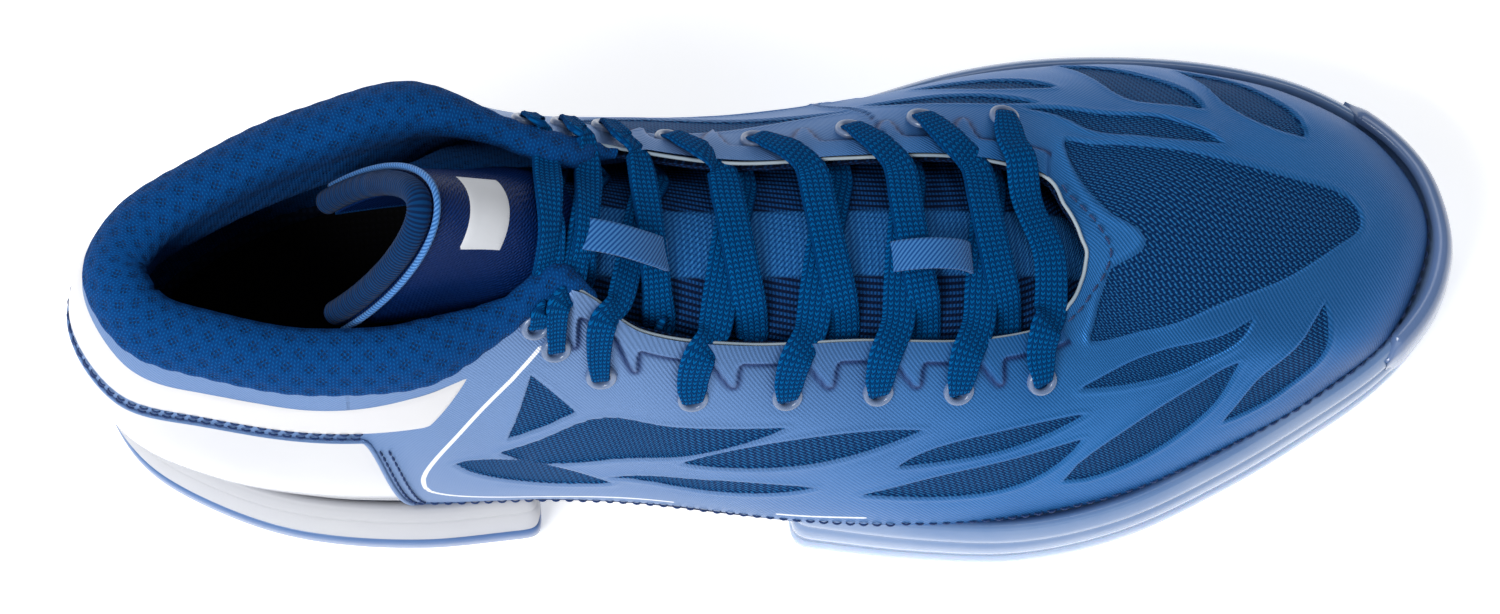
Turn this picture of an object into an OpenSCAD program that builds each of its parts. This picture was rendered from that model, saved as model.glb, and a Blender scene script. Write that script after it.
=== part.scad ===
// Basketball high top, right shoe. Millimetres, +X to the toe, +Y to the inner side of the foot, +Z up.
// The origin is on the ground, midway along the shoe.

/* [Sole] */
// Height of the upper's lower edge at the heel
heel_stack = 30; // [28:0.5:34]
// Height of the upper's lower edge at the ball of the foot
ball_stack = 23.5; // [22:0.5:27]
// How far the tip of the outsole rises above the ground
toe_spring = 10; // [6:0.5:12]
// Thickness of the rubber outsole
outsole_t = 8; // [6:0.5:9]
// Thickness of the insole board
board_t = 2; // [1.5:0.1:2]
// Thickness of the shank plate that bridges the arch
shank_t = 2; // [1.5:0.1:2]
// Thickness of the removable sockliner
sockliner_t = 4; // [3:0.5:5]

/* [Upper] */
// Thickness of the outer film
film_t = 0.8; // [0.6:0.1:0.9]
// Thickness of the knitted mesh liner
liner_t = 0.8; // [0.6:0.1:0.9]
// Thickness of the external heel counter
counter_t = 0.8; // [0.7:0.1:0.8]
// Thickness of the collar's padding
collar_pad = 10.5; // [9:0.5:11]
// Height of the collar's padded roll above the film's edge
collar_roll = 10.5; // [8:0.5:12]

/* [Tongue] */
// Thickness of the tongue
tongue_t = 5; // [4:0.5:5]
// Radius of the tongue's edge binding
binding_r = 2.6; // [2:0.1:2.8]

/* [Lace] */
// Width of the flat lace
lace_w = 8.4; // [6:0.2:9]
// Thickness of the flat lace
lace_t = 1.3; // [1:0.1:1.4]
// Outer radius of an eyelet ring
eyelet_r = 3.2; // [3:0.1:3.6]
// Radius of an eyelet's hole
eyelet_hole_r = 1.9; // [1.5:0.1:2.4]

/* [Hidden] */

gap = 0.3; // clearance between neighbouring pieces
cols = 3; // columns of facets between two ribs
wide = 200; // wider than the shoe, for cutting profiles

// ---- curves -------------------------------------------------------------------------------------------

function lerp(a, b, u) = a + (b - a) * u;
function clamp01(u) = max(0, min(1, u));
function ease(u) = let (c = clamp01(u)) c * c * (3 - 2 * c);
function unit(v) = v / norm(v);
function wrap(i, n) = (i % n + n) % n;
function catmull(a, b, c, d, u) =
    (2 * b + (c - a) * u + (2 * a - 5 * b + 4 * c - d) * u * u + (3 * b - a - 3 * c + d) * u * u * u) / 2;
function bezier(p, t) =
    p[0] * pow(1 - t, 3) + 3 * p[1] * t * pow(1 - t, 2) + 3 * p[2] * t * t * (1 - t) + p[3] * pow(t, 3);
// A smooth closed curve through the points, n steps from each to the next
function closed_curve(p, n) = [
    for (i = [0 : len(p) - 1], k = [0 : n - 1])
        catmull(p[wrap(i - 1, len(p))], p[i], p[wrap(i + 1, len(p))], p[wrap(i + 2, len(p))], k / n)
];
// A smooth open curve through the points, at u from 0 to the last index
function open_at(p, u) =
    let (i = max(0, min(len(p) - 2, floor(u))), a = p[max(0, i - 1)], d = p[min(len(p) - 1, i + 2)])
    catmull(a, p[i], p[i + 1], d, u - i);
// A counter-clockwise plan outline moved outward by d
function grow(p, d) = [
    for (i = [0 : len(p) - 1])
        let (v = unit(p[wrap(i + 1, len(p))] - p[wrap(i - 1, len(p))]))
        p[i] + d * [v[1], -v[0]]
];

// ---- sole ---------------------------------------------------------------------------------------------

// Plan of the outsole, counter-clockwise from the back of the heel along the outer side
SOLE_PLAN = [
    [-151, -3], [-145, -17], [-131, -28], [-111, -37], [-85, -41.5], [-57, -41.5], [-28, -43.5], [0, -49.5],
    [22, -54], [45, -56.5], [68, -53.5], [90, -45.5], [110, -36], [127, -26.5], [138.5, -16], [144, -5],
    [144.8, 6], [141, 19], [131, 31], [115, 41.5], [92, 48.7], [65, 52], [42, 51], [18, 46], [-8, 41],
    [-35, 37.5], [-65, 37], [-95, 37], [-122, 31.5], [-140, 20], [-148.5, 8.5]
];
heel_front_x = -57; // front end of the heel unit, where the open arch starts
fore_back_x = -4; // back end of the forefoot unit
guard_x = 126; // where the toe guard starts
bevel_x = -138; // where the heel's rounded back edge starts
spring_x = 95; // where the toe starts to rise
toe_x = 145;
heel_x = -152;

// Height of the upper's lower edge, which the footbed follows
function feather_z(x) =
    lerp(ball_stack, heel_stack, ease((60 - x) / 140)) + 3 * pow(max(0, x - 60) / 80, 2);
// Underside of the outsole: flat, with a rounded back edge and a toe that rises
function ground_z(x) =
    4 * pow(max(0, bevel_x - x) / 13, 2) + toe_spring * pow(max(0, x - spring_x) / 50, 2);
function stations(x0, x1) = let (n = max(2, ceil((x1 - x0) / 8))) [for (i = [0 : n]) lerp(x0, x1, i / n)];

// A layer of the sole between two heights, cut to a plan outline. A height is [from the ground, from the
// feather line]: one of them is a number and the other is undef.
function level_z(x, level) = is_undef(level[1]) ? ground_z(x) + level[0] : feather_z(x) + level[1];
module layer(plan, x0, x1, low, high) {
    xs = stations(x0, x1);
    side = concat(
        [for (x = xs) [x, level_z(x, low)]],
        [for (i = [len(xs) - 1 : -1 : 0]) [xs[i], level_z(xs[i], high)]]
    );
    intersection() {
        linear_extrude(height = 60) polygon(plan);
        rotate([90, 0, 0]) linear_extrude(height = wide, center = true) polygon(side);
    }
}
sole_plan = closed_curve(SOLE_PLAN, 3);
shank_plan = [[-84, -20], [34, -22], [34, 18], [-84, 18]];
board_low = -gap - board_t; // the board's underside, from the feather line
shank_low = board_low - 0.2 - shank_t;

module shank_space() {
    layer(shank_plan, -84.5, 34.5, [undef, shank_low - 0.1], [undef, 5]);
}
module outsole_heel() {
    color("steelblue") layer(sole_plan, heel_x, heel_front_x, [0, undef], [outsole_t, undef]);
}
module outsole_forefoot() {
    color("lightsteelblue") layer(sole_plan, fore_back_x, toe_x, [0, undef], [outsole_t, undef]);
}
module midsole_heel() {
    color("white") difference() {
        layer(grow(sole_plan, -0.5), heel_x, heel_front_x + 3, [outsole_t + 0.2, undef], [undef, board_low - 0.2]);
        shank_space();
    }
}
module sidewall_forefoot() {
    color("royalblue") difference() {
        layer(sole_plan, fore_back_x, guard_x - gap, [outsole_t + 0.2, undef], [undef, board_low - 0.2]);
        layer(grow(feather_plan, -2), fore_back_x + 4, wide, [0, undef], [undef, 5]);
        shank_space();
    }
}
module midsole_forefoot() {
    color("lavender") difference() {
        layer(
            grow(feather_plan, -2.3), fore_back_x + 4.3, toe_x - 6,
            [outsole_t + 0.2, undef], [undef, board_low - 0.2]
        );
        shank_space();
    }
}
module toe_guard() {
    color("midnightblue") difference() {
        layer(sole_plan, guard_x, toe_x, [outsole_t + 0.2, undef], [undef, 3]);
        layer(grow(feather_plan, 2), guard_x - 1, wide, [undef, board_low - 0.3], [undef, 9]);
        layer(grow(feather_plan, -2), guard_x - 1, wide, [0, undef], [undef, 9]);
    }
}
module shank_plate() {
    color("dimgray") layer(shank_plan, -84, 34, [undef, shank_low], [undef, shank_low + shank_t]);
}
module insole_board() {
    color("tan") layer(grow(feather_plan, -0.3), heel_x, toe_x, [undef, board_low], [undef, board_low + board_t]);
}
module sockliner() {
    color("black") layer(grow(feather_plan, -6.6), heel_x, toe_x, [undef, 0.3], [undef, 0.3 + sockliner_t]);
}

// ---- the upper's surface ------------------------------------------------------------------------------

// Ribs round the upper, from the back of the heel along the outer side to the toe and back along the inner
// side. Each is [foot x y on the feather line, top x y z at the film's upper edge, handle of the foot
// (out, up), handle of the top (out, down)].
RIBS = [
    [[-149, -2], [-146, 0, 98], [7, 22], [9, 18]],
    [[-141, -18], [-139, -14, 97.5], [8, 20], [9, 18]],
    [[-126, -28], [-124, -21.5, 97.5], [7, 18], [7, 18]],
    [[-104, -35], [-102, -27.5, 98], [6, 16], [6, 18]],
    [[-80, -38], [-80, -28.5, 100.5], [6, 16], [6, 18]],
    [[-56, -39.5], [-62, -21.5, 104], [6, 18], [11, 16]],
    [[-36, -42], [-47.5, -14, 107], [6, 20], [15, 12]],
    [[-16, -46], [-33, -21.5, 95.5], [5, 20], [11, 9]],
    [[6, -50], [-12, -24, 87], [3, 18], [11, 7]],
    [[28, -52], [12, -23.5, 79.5], [2, 14], [12, 5]],
    [[50, -51.5], [34, -24, 73], [2, 12], [13, 4]],
    [[72, -47.5], [51, -21.5, 68], [2, 12], [14, 3]],
    [[93, -40], [58, -16, 66], [2, 12], [22, 2]],
    [[112, -31], [61, -11, 65.3], [3, 12], [30, 2]],
    [[130, -18], [62.3, -7, 65], [4, 14], [42, 3]],
    [[139.5, 3], [62.7, -4.5, 65], [5, 14], [46, 3]],
    [[132, 22], [62, -2, 65], [4, 14], [42, 3]],
    [[114, 36], [61, 1.5, 65.3], [3, 12], [34, 2]],
    [[92, 44], [59, 5.5, 66], [2, 12], [26, 2]],
    [[68, 47.5], [54.5, 12.5, 67], [2, 14], [20, 3]],
    [[44, 46], [36, 16.5, 73], [2, 16], [16, 3]],
    [[20, 41], [13, 16, 80.5], [3, 18], [15, 4]],
    [[-4, 36.5], [-11, 15, 87.5], [5, 20], [15, 6]],
    [[-28, 33.5], [-33, 17.5, 96], [7, 20], [14, 9]],
    [[-52, 33], [-51, 20, 106.5], [7, 20], [12, 14]],
    [[-78, 34.5], [-76, 32.5, 103], [6, 18], [5, 18]],
    [[-102, 33.5], [-100, 29.5, 100], [6, 18], [6, 18]],
    [[-125, 26], [-123, 21.5, 98.5], [7, 18], [7, 18]],
    [[-141, 14], [-139, 12.5, 98], [8, 20], [9, 18]]
];
rib_n = len(RIBS);
feather_plan = closed_curve([for (r = RIBS) r[0]], cols);

function foot(i) = let (p = RIBS[wrap(i, rib_n)][0]) [p[0], p[1], feather_z(p[0])];
function out_dir(i) = let (v = foot(i + 1) - foot(i - 1)) unit([v[1], -v[0], 0]);
function rib(i) =
    let (r = RIBS[wrap(i, rib_n)], o = out_dir(i))
    [foot(i), foot(i) + o * r[2][0] + [0, 0, r[2][1]], r[1] + o * r[3][0] - [0, 0, r[3][1]], r[1]];
rib_curves = [for (i = [0 : rib_n - 1]) rib(i)];
function curve_at(s) =
    let (
        i = floor(s), a = rib_curves[wrap(i - 1, rib_n)], b = rib_curves[wrap(i, rib_n)],
        c = rib_curves[wrap(i + 1, rib_n)], d = rib_curves[wrap(i + 2, rib_n)]
    )
    [for (k = [0 : 3]) catmull(a[k], b[k], c[k], d[k], s - i)];
// The film's outer surface: s counts ribs, t runs from 0 at the feather line to 1 at the upper edge
function film_point(s, t) = bezier(curve_at(s), t);
step = 0.02;
function along(s, t) = film_point(s + step, t) - film_point(s - step, t);
function upward(s, t) = unit(film_point(s, min(1, t + step)) - film_point(s, max(0, t - step)));
function outward(s, t) = unit(cross(along(s, t), upward(s, t)));
// A point of the upper at a depth under the film's outer surface
function skin(s, t, depth) = film_point(s, t) - depth * outward(s, t);
function ribs_from_heel(s) = let (w = wrap(s, rib_n)) min(w, rib_n - w);

// Closed rings joined into a solid. A ring is two chains of equal length, the second running back.
module loft(rings, closed = false) {
    m = len(rings);
    k = len(rings[0]);
    last = closed ? m - 1 : m - 2;
    walls = [
        for (i = [0 : last], j = [0 : k - 1])
            let (a = i * k + j, b = i * k + (j + 1) % k, c = (i + 1) % m * k + (j + 1) % k, d = (i + 1) % m * k + j)
            each [[a, c, b], [a, d, c]]
    ];
    ends = closed ? [] : [
        for (j = [0 : k / 2 - 2])
            let (a = j, b = j + 1, c = k - 2 - j, d = k - 1 - j, e = (m - 1) * k)
            each [[a, b, c], [a, c, d], [e + a, e + c, e + b], [e + a, e + d, e + c]]
    ];
    polyhedron(points = [for (r = rings) each r], faces = concat(walls, ends));
}
// A shell of the upper between two depths, from rib s0 to s1 and from t = low(s) to high(s)
module shell(s0, s1, rows, low, high, outer, inner, closed = false) {
    n = round((s1 - s0) * cols);
    rings = [
        for (i = [0 : closed ? n - 1 : n])
            let (s = lerp(s0, s1, i / n), a = low(s), b = high(s))
            concat(
                [for (j = [0 : rows]) skin(s, lerp(a, b, j / rows), inner)],
                [for (j = [rows : -1 : 0]) skin(s, lerp(a, b, j / rows), outer)]
            )
    ];
    loft(rings, closed);
}
at = function (t) function (s) t; // a constant height on the upper

seam_gap = 0.02; // half of the gap at a seam, in ribs
vamp_from = 9 + 1 / 3;
vamp_to = 20 + 2 / 3;
heel_reach = 3 + 2 / 3; // the heel pieces end this many ribs from the back
// The counter's upper edge, which sweeps down to the sole at its two front ends
counter_top = function (s)
    let (r = ribs_from_heel(s)) lerp(0.53, 0.66, ease(r / 2.4)) * (1 - ease((r - 3.4) / 0.8));
above_counter = function (s) let (t = counter_top(s)) t > 0.03 ? t + 0.012 : 0;
below_counter = function (s) max(0.06, counter_top(s) - 0.012);
liner_depth = film_t + 0.6;
inner_depth = liner_depth + liner_t + gap;

module vamp() {
    color("royalblue") shell(vamp_from + seam_gap, vamp_to - seam_gap, 12, at(0), at(1), 0, film_t);
}
module quarter_lateral() {
    color("cornflowerblue")
        shell(heel_reach + seam_gap, vamp_from - seam_gap, 12, above_counter, at(1), 0, film_t);
}
module quarter_medial() {
    color("cornflowerblue")
        shell(vamp_to + seam_gap, rib_n - heel_reach - seam_gap, 12, above_counter, at(1), 0, film_t);
}
module heel_quarter() {
    color("slateblue")
        shell(seam_gap - heel_reach, heel_reach - seam_gap, 8, above_counter, at(1), 0, film_t);
}
module heel_counter() {
    color("white") shell(-3.9, 3.9, 8, at(0), below_counter, 0, counter_t);
}
module heel_band() {
    color("white") shell(-3.6, 3.6, 4, at(0.71), at(0.9), -gap - 0.5, -gap);
}
module heel_stiffener() {
    color("gainsboro") shell(-3.5, 3.5, 8, at(0.02), at(0.48), inner_depth, inner_depth + 1.1);
}
module toe_puff() {
    color("gainsboro") shell(11.5, 18.5, 6, at(0.02), at(0.42), inner_depth, inner_depth + 0.8);
}
module mesh_liner() {
    color("darkblue") shell(0, rib_n, 12, at(0), at(1), liner_depth, liner_depth + liner_t, closed = true);
}

// ---- collar -------------------------------------------------------------------------------------------

collar_lateral_end = 6.4;
collar_medial_end = 23.1 - rib_n;
// 0 round the ankle, 1 on the narrow strips that run down beside the throat
function narrow(x) = ease((x + 68) / 16);
function pad_depth(s, t) =
    let (n = narrow(film_point(s, 1)[0]), thin = lerp(4.2, 3.6, n))
    lerp(thin, lerp(collar_pad, 4.4, n), ease((t - 0.5) / 0.35));
function roll_point(s, depth, rise) =
    film_point(s, 1) - depth * outward(s, 1) + rise * upward(s, 1);
// The roll's section as fractions of the pad's thickness and of the roll's height
ROLL_OUT = [[0.24, 0.04], [-0.02, 0.05], [-0.08, 0.33], [0.02, 0.7], [0.25, 0.96]];
ROLL_IN = [[0.6, 1], [0.88, 0.8], [1, 0.4], [1, 0.05]];
function foam_ring(s) =
    let (
        n = narrow(film_point(s, 1)[0]), d = pad_depth(s, 1), h = lerp(collar_roll, 4, n),
        low = lerp(0.56, 0.75, n)
    )
    concat(
        [for (t = [low, lerp(low, 1, 0.35), lerp(low, 1, 0.7)]) skin(s, t, inner_depth)],
        [for (p = ROLL_OUT) roll_point(s, max(p[0] * d, p[1] < 0.045 ? inner_depth : -1), p[1] * h)],
        [for (p = ROLL_IN) roll_point(s, p[0] * d, p[1] * h)],
        [for (u = [0.8, 0.55, 0.25, 0]) let (t = lerp(low, 1, u)) skin(s, t, pad_depth(s, t))]
    );
module collar_foam() {
    n = round((collar_lateral_end - collar_medial_end) * cols);
    color("mediumblue")
        loft([for (i = [0 : n]) foam_ring(lerp(collar_lateral_end, collar_medial_end, i / n))]);
}
module collar_lining() {
    rows = 10;
    from = -4.8;
    to = 5;
    n = 30;
    color("navy") loft([
        for (i = [0 : n])
            let (s = lerp(from, to, i / n))
            concat(
                [for (j = [0 : rows]) let (t = lerp(0.08, 0.95, j / rows)) skin(s, t, pad_depth(s, t) + 1)],
                [for (j = [rows : -1 : 0]) let (t = lerp(0.08, 0.95, j / rows)) skin(s, t, pad_depth(s, t) + 0.35)]
            )
    ]);
}

// ---- eyelets ------------------------------------------------------------------------------------------

// Places of the eyelets on the upper, as [s, t], from the toe to the ankle
EYELETS_LATERAL = [
    [10.7, 0.77], [9.8, 0.77], [9.05, 0.76], [8.25, 0.75], [7.35, 0.72], [6.25, 0.7], [5.72, 0.8], [5.48, 0.92]
];
EYELETS_MEDIAL = [
    [19.45, 0.76], [20.25, 0.78], [20.9, 0.82], [21.75, 0.85], [22.55, 0.87], [23.2, 0.82], [23.7, 0.84],
    [24.1, 0.9]
];
stay_out = gap + 0.5; // the eyestay's outer face above the film
ring_low = stay_out + 0.35;
ring_t = 0.9;

module ring_at(place) {
    p = skin(place[0], place[1], -ring_low);
    n = outward(place[0], place[1]);
    translate(p) rotate([0, acos(n[2]), atan2(n[1], n[0])]) difference() {
        cylinder(h = ring_t, r = eyelet_r, $fn = 48);
        translate([0, 0, -1]) cylinder(h = ring_t + 2, r = eyelet_hole_r, $fn = 48);
    }
}
module eyelets_lateral() {
    color("lightgray") for (e = EYELETS_LATERAL) ring_at(e);
}
module eyelets_medial() {
    color("lightgray") for (e = EYELETS_MEDIAL) ring_at(e);
}
module eyestay_lateral() {
    low = function (s) lerp(0.76, 0.62, ease((s - 5.3) / 0.9));
    color("mediumslateblue") shell(5.33, 11.33, 4, low, at(0.985), -stay_out, -gap);
}
module eyestay_medial() {
    low = function (s) lerp(0.64, 0.74, ease((s - 19) / 2));
    color("mediumslateblue") shell(18.67, 24.33, 4, low, at(0.985), -stay_out, -gap);
}

// ---- tongue -------------------------------------------------------------------------------------------

// Stations along the tongue: [x, y, z] of its crest, half-width, half-angle of its arc, and how far its
// arc falls back and down (x, z)
TONGUE = [
    [68, -6, 57.5, 26, 45, -4, -28],
    [60, -6, 61.5, 30, 48, -5, -32],
    [50, -5.5, 68, 36, 52, -10, -40],
    [34, -4.5, 74.5, 38, 54, -12, -44],
    [12, -4, 81.5, 38, 54, -13, -44],
    [-12, -4, 88.5, 33, 53, -15, -43],
    [-32, -2, 96.5, 26, 57, -18, -38],
    [-46, 0.5, 106.8, 19.5, 67, -22, -32],
    [-58, 0.6, 118, 15.5, 77, -23, -32],
    [-66, 0.3, 124.5, 14.7, 83, -23, -34],
    [-73, 0, 130, 14.3, 90, -22, -35]
];
tongue_last = len(TONGUE) - 1;
hinge_u = 8; // the tongue's top folds at this station
fold_gap = 0.12; // in stations
// A point of the tongue's outer surface: u counts stations, a runs from -1 to 1 across
function tongue(u, a) =
    let (k = open_at(TONGUE, u), w = a * k[4], drop = 1 - cos(w))
    [k[0] + drop * k[5], k[1] + k[3] * sin(w), k[2] + drop * k[6]];
function tongue_out(u, a) =
    let (v = clamp01(u / tongue_last) * tongue_last)
    unit(cross(
        tongue(min(v + step, tongue_last), a) - tongue(max(v - step, 0), a), tongue(v, a + step) - tongue(v, a - step)
    ));
function tongue_skin(u, a, depth) = tongue(u, a) + depth * tongue_out(u, a);
module tongue_shell(u0, u1, n, a0, a1, rows, outer, inner) {
    loft([
        for (i = [0 : n])
            let (u = lerp(u0, u1, i / n))
            concat(
                [for (j = [0 : rows]) tongue_skin(u, lerp(a0, a1, j / rows), outer)],
                [for (j = [rows : -1 : 0]) tongue_skin(u, lerp(a0, a1, j / rows), inner)]
            )
    ]);
}
module tongue_lower() {
    color("navy") tongue_shell(0, hinge_u - fold_gap, 16, -1, 1, 12, 0, tongue_t);
}
module tongue_top() {
    color("midnightblue") tongue_shell(hinge_u + fold_gap, tongue_last, 5, -1, 1, 14, 0, tongue_t);
}
module tongue_badge() {
    color("silver") tongue_shell(hinge_u + 0.15, hinge_u + 1.1, 4, -0.34, 0.3, 6, -gap - 0.4, -gap);
}
module tongue_binding() {
    n = 24;
    sides = 8;
    reach = binding_r + gap;
    crest_dir = function (a) unit(tongue(tongue_last, a) - tongue(tongue_last - 0.1, a));
    centre = function (a) tongue_skin(tongue_last, a, tongue_t / 2) + reach * crest_dir(a);
    color("royalblue") loft([
        for (i = [0 : n])
            let (a = lerp(-1, 1, i / n), e1 = crest_dir(a), e2 = tongue_out(tongue_last, a))
            [for (j = [0 : sides - 1]) let (w = 360 * j / sides) centre(a) + binding_r * (cos(w) * e1 - sin(w) * e2)]
    ]);
}
// A strap stitched down at both ends of its run along the tongue's crest, standing over the lace
module strap(u0, u1, a, width, rise) {
    n = 10;
    t = 0.8;
    loft([
        for (i = [0 : n])
            let (
                v = i / n, u = lerp(u0, u1, v), lift = gap + rise * pow(sin(180 * v), 0.6),
                o = -tongue_out(u, a), p = tongue(u, a) + lift * o, w = [0, width / 2, 0]
            )
            [p + w, p - w, p - w + t * o, p + w + t * o]
    ]);
}
module tongue_loop_lower() {
    color("cornflowerblue") strap(2.85, 3.75, -0.08, 6.5, 9);
}
module tongue_loop_upper() {
    color("cornflowerblue") strap(5.8, 7.2, -0.16, 7, 9);
}

// ---- lace ---------------------------------------------------------------------------------------------

// Places on the tongue, as stations, where the bar and each pair of strips cross the crest
CROSSINGS = [2.35, 2.8, 3.55, 4.35, 5.15, 5.95, 6.6, 7.25];
crest_low = 1.4; // height of the lower strip over the crest
crest_high = 4.2; // height of the upper strip over the crest
edge_over = 4.6; // height of a strip over the film's edge
edge_under = -inner_depth - 1.3; // height of a strip that tucks under the film's edge

// A strip leaves an eyelet, passes over its own edge and the crest, and tucks under the other edge
function strip_path(from, own, mid, other, lift) = [
    skin(from[0], from[1], -ring_low - ring_t - 1),
    skin(lerp(from[0], own, 0.6), 0.93, -edge_over),
    tongue_skin(mid[0], mid[1], -lift - 0.3),
    tongue_skin(mid[0], 0, -lift),
    tongue_skin(mid[0], -mid[1], -lift),
    skin(other, 1, -edge_under) + [0, 0, -0.2],
    skin(other, 0.94, -edge_under + 0.4)
];
strip_side = 0.3; // where a strip is placed beside the crest, as a part of the tongue's half-width
function strip_width(i) = lerp(lace_w, 6, ease((i - 4) / 2));
// A ribbon's section, as parts of its half-width and half-thickness
RIBBON_SECTION = [[1, -0.4], [0.7, -1], [-0.7, -1], [-1, -0.4], [-1, 0.4], [-0.7, 1], [0.7, 1], [1, 0.4]];
module ribbon(path, across) {
    n = 3 * (len(path) - 1);
    loft([
        for (i = [0 : n])
            let (
                u = i / 3, p = open_at(path, u),
                d = unit(open_at(path, min(len(path) - 1, u + 0.05)) - open_at(path, max(0, u - 0.05))),
                o = unit([0.3, (p[1] + 4) / 34, 1]), w = unit(cross(d, o)) * across / 2, h = unit(cross(w, d)) * lace_t / 2
            )
            [for (c = RIBBON_SECTION) p + c[0] * w + c[1] * h]
    ]);
}
// The front bar and the strips that leave the outer eyelets
module lace_lateral() {
    bar = CROSSINGS[0];
    near = EYELETS_LATERAL[0];
    far = EYELETS_MEDIAL[0];
    color("dodgerblue") {
        ribbon([
            skin(near[0], near[1], -ring_low - ring_t - 1), skin(near[0], 0.93, -edge_over),
            tongue_skin(bar, -0.3, -crest_low - 1), tongue_skin(bar, 0.3, -crest_low - 1),
            skin(far[0], 0.93, -edge_over), skin(far[0], far[1], -ring_low - ring_t - 1)
        ], lace_w);
        for (i = [1 : len(CROSSINGS) - 1])
            ribbon(
                strip_path(
                    EYELETS_LATERAL[i], EYELETS_LATERAL[i - 1][0], [CROSSINGS[i], -strip_side],
                    EYELETS_MEDIAL[i - 1][0], crest_low
                ),
                strip_width(i)
            );
    }
}
// The strips that leave the inner eyelets and lie on top
module lace_medial() {
    color("dodgerblue") for (i = [1 : len(CROSSINGS) - 1])
        ribbon(
            strip_path(
                EYELETS_MEDIAL[i], EYELETS_MEDIAL[i - 1][0], [CROSSINGS[i], strip_side],
                EYELETS_LATERAL[i - 1][0], crest_high
            ),
            strip_width(i)
        );
}

outsole_heel();
outsole_forefoot();
sidewall_forefoot();
toe_guard();
midsole_heel();
midsole_forefoot();
shank_plate();
insole_board();
sockliner();
heel_counter();
heel_stiffener();
toe_puff();
vamp();
quarter_lateral();
quarter_medial();
heel_quarter();
heel_band();
mesh_liner();
eyestay_lateral();
eyestay_medial();
eyelets_lateral();
eyelets_medial();
collar_foam();
collar_lining();
tongue_lower();
tongue_top();
tongue_binding();
tongue_badge();
tongue_loop_lower();
tongue_loop_upper();
lace_lateral();
lace_medial();
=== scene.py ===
"""Basketball high top, right shoe: the looks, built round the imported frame.

Lengths are in millimetres until a mesh is made, in the frame of the CAD: +X to the toe, +Y to the inner
side of the foot, +Z up."""
import math

import bmesh
import bpy
import numpy as np
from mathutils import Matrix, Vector


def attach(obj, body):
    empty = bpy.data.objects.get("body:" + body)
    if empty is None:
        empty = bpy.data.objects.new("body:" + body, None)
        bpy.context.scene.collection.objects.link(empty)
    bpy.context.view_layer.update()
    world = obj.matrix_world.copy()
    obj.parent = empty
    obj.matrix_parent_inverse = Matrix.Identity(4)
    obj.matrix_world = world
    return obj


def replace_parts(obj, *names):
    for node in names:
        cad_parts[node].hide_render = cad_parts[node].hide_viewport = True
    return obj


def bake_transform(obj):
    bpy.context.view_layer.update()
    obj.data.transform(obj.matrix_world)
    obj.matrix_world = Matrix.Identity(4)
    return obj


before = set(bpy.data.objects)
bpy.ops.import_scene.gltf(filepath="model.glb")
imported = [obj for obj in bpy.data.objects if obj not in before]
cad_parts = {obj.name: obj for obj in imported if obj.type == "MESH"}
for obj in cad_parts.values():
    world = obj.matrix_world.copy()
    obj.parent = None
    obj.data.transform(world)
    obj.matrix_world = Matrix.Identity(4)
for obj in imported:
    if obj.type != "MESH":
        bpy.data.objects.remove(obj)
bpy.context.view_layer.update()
MM = 0.001

# ---- camera ----

AIM, DISTANCE, AZIMUTH, ELEVATION = Vector((-8.08, 7.08, 0)), 1500, math.radians(-5.3), math.radians(75)
back = Vector((
    math.sin(AZIMUTH) * math.cos(ELEVATION), -math.cos(AZIMUTH) * math.cos(ELEVATION), math.sin(ELEVATION)
))
camera = bpy.data.objects.new("camera", bpy.data.cameras.new("camera"))
camera.location = (AIM + DISTANCE * back) * MM
camera.rotation_mode = "QUATERNION"
camera.rotation_quaternion = (-back).to_track_quat("-Z", "Y")
camera.data.lens, camera.data.sensor_width = 162, 36
camera.data.clip_start, camera.data.clip_end = 0.01, 20
bpy.context.collection.objects.link(camera)
bpy.context.scene.camera = camera

# ---- curves, as in the CAD ----


def lerp(a, b, u):
    return a + (b - a) * u


def ease(u):
    c = np.clip(u, 0, 1)
    return c * c * (3 - 2 * c)


def unit(v):
    return v / np.maximum(np.linalg.norm(v, axis=-1, keepdims=True), 1e-9)


def catmull(a, b, c, d, u):
    return (2 * b + (c - a) * u + (2 * a - 5 * b + 4 * c - d) * u * u + (3 * b - a - 3 * c + d) * u**3) / 2


def open_at(points, u):
    p = np.asarray(points, float)
    u = np.atleast_1d(np.asarray(u, float))
    i = np.clip(np.floor(u).astype(int), 0, len(p) - 2)
    k = (u - i).reshape(-1, *[1] * (p.ndim - 1))
    return catmull(p[np.maximum(i - 1, 0)], p[i], p[i + 1], p[np.minimum(i + 2, len(p) - 1)], k)


def closed_at(points, u):
    p = np.asarray(points, float)
    i = np.floor(u).astype(int)
    k = (u - i).reshape(-1, *[1] * (p.ndim - 1))
    n = len(p)
    return catmull(p[(i - 1) % n], p[i % n], p[(i + 1) % n], p[(i + 2) % n], k)


def resample(points, count, closed=False):
    p = np.asarray(points, float)
    if closed:
        p = np.vstack([p, p[:1]])
    run = np.concatenate([[0], np.cumsum(np.linalg.norm(np.diff(p, axis=0), axis=1))])
    at = np.linspace(0, run[-1], count + 1 if closed else count)
    q = np.stack([np.interp(at, run, p[:, k]) for k in range(p.shape[1])], -1)
    return q[:-1] if closed else q


def arc(points, axis=0):
    """Running length along an axis of a grid of points."""
    d = np.linalg.norm(np.diff(points, axis=axis), axis=-1)
    zero = np.zeros_like(np.take(d, [0], axis))
    return np.concatenate([zero, np.cumsum(d, axis)], axis)


def feather_z(x):
    return lerp(23.5, 30, ease((60 - x) / 140)) + 3 * (np.maximum(0, x - 60) / 80) ** 2


def ground_z(x):
    return 4 * (np.maximum(0, -138 - x) / 13) ** 2 + 10 * (np.maximum(0, x - 95) / 50) ** 2


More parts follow.
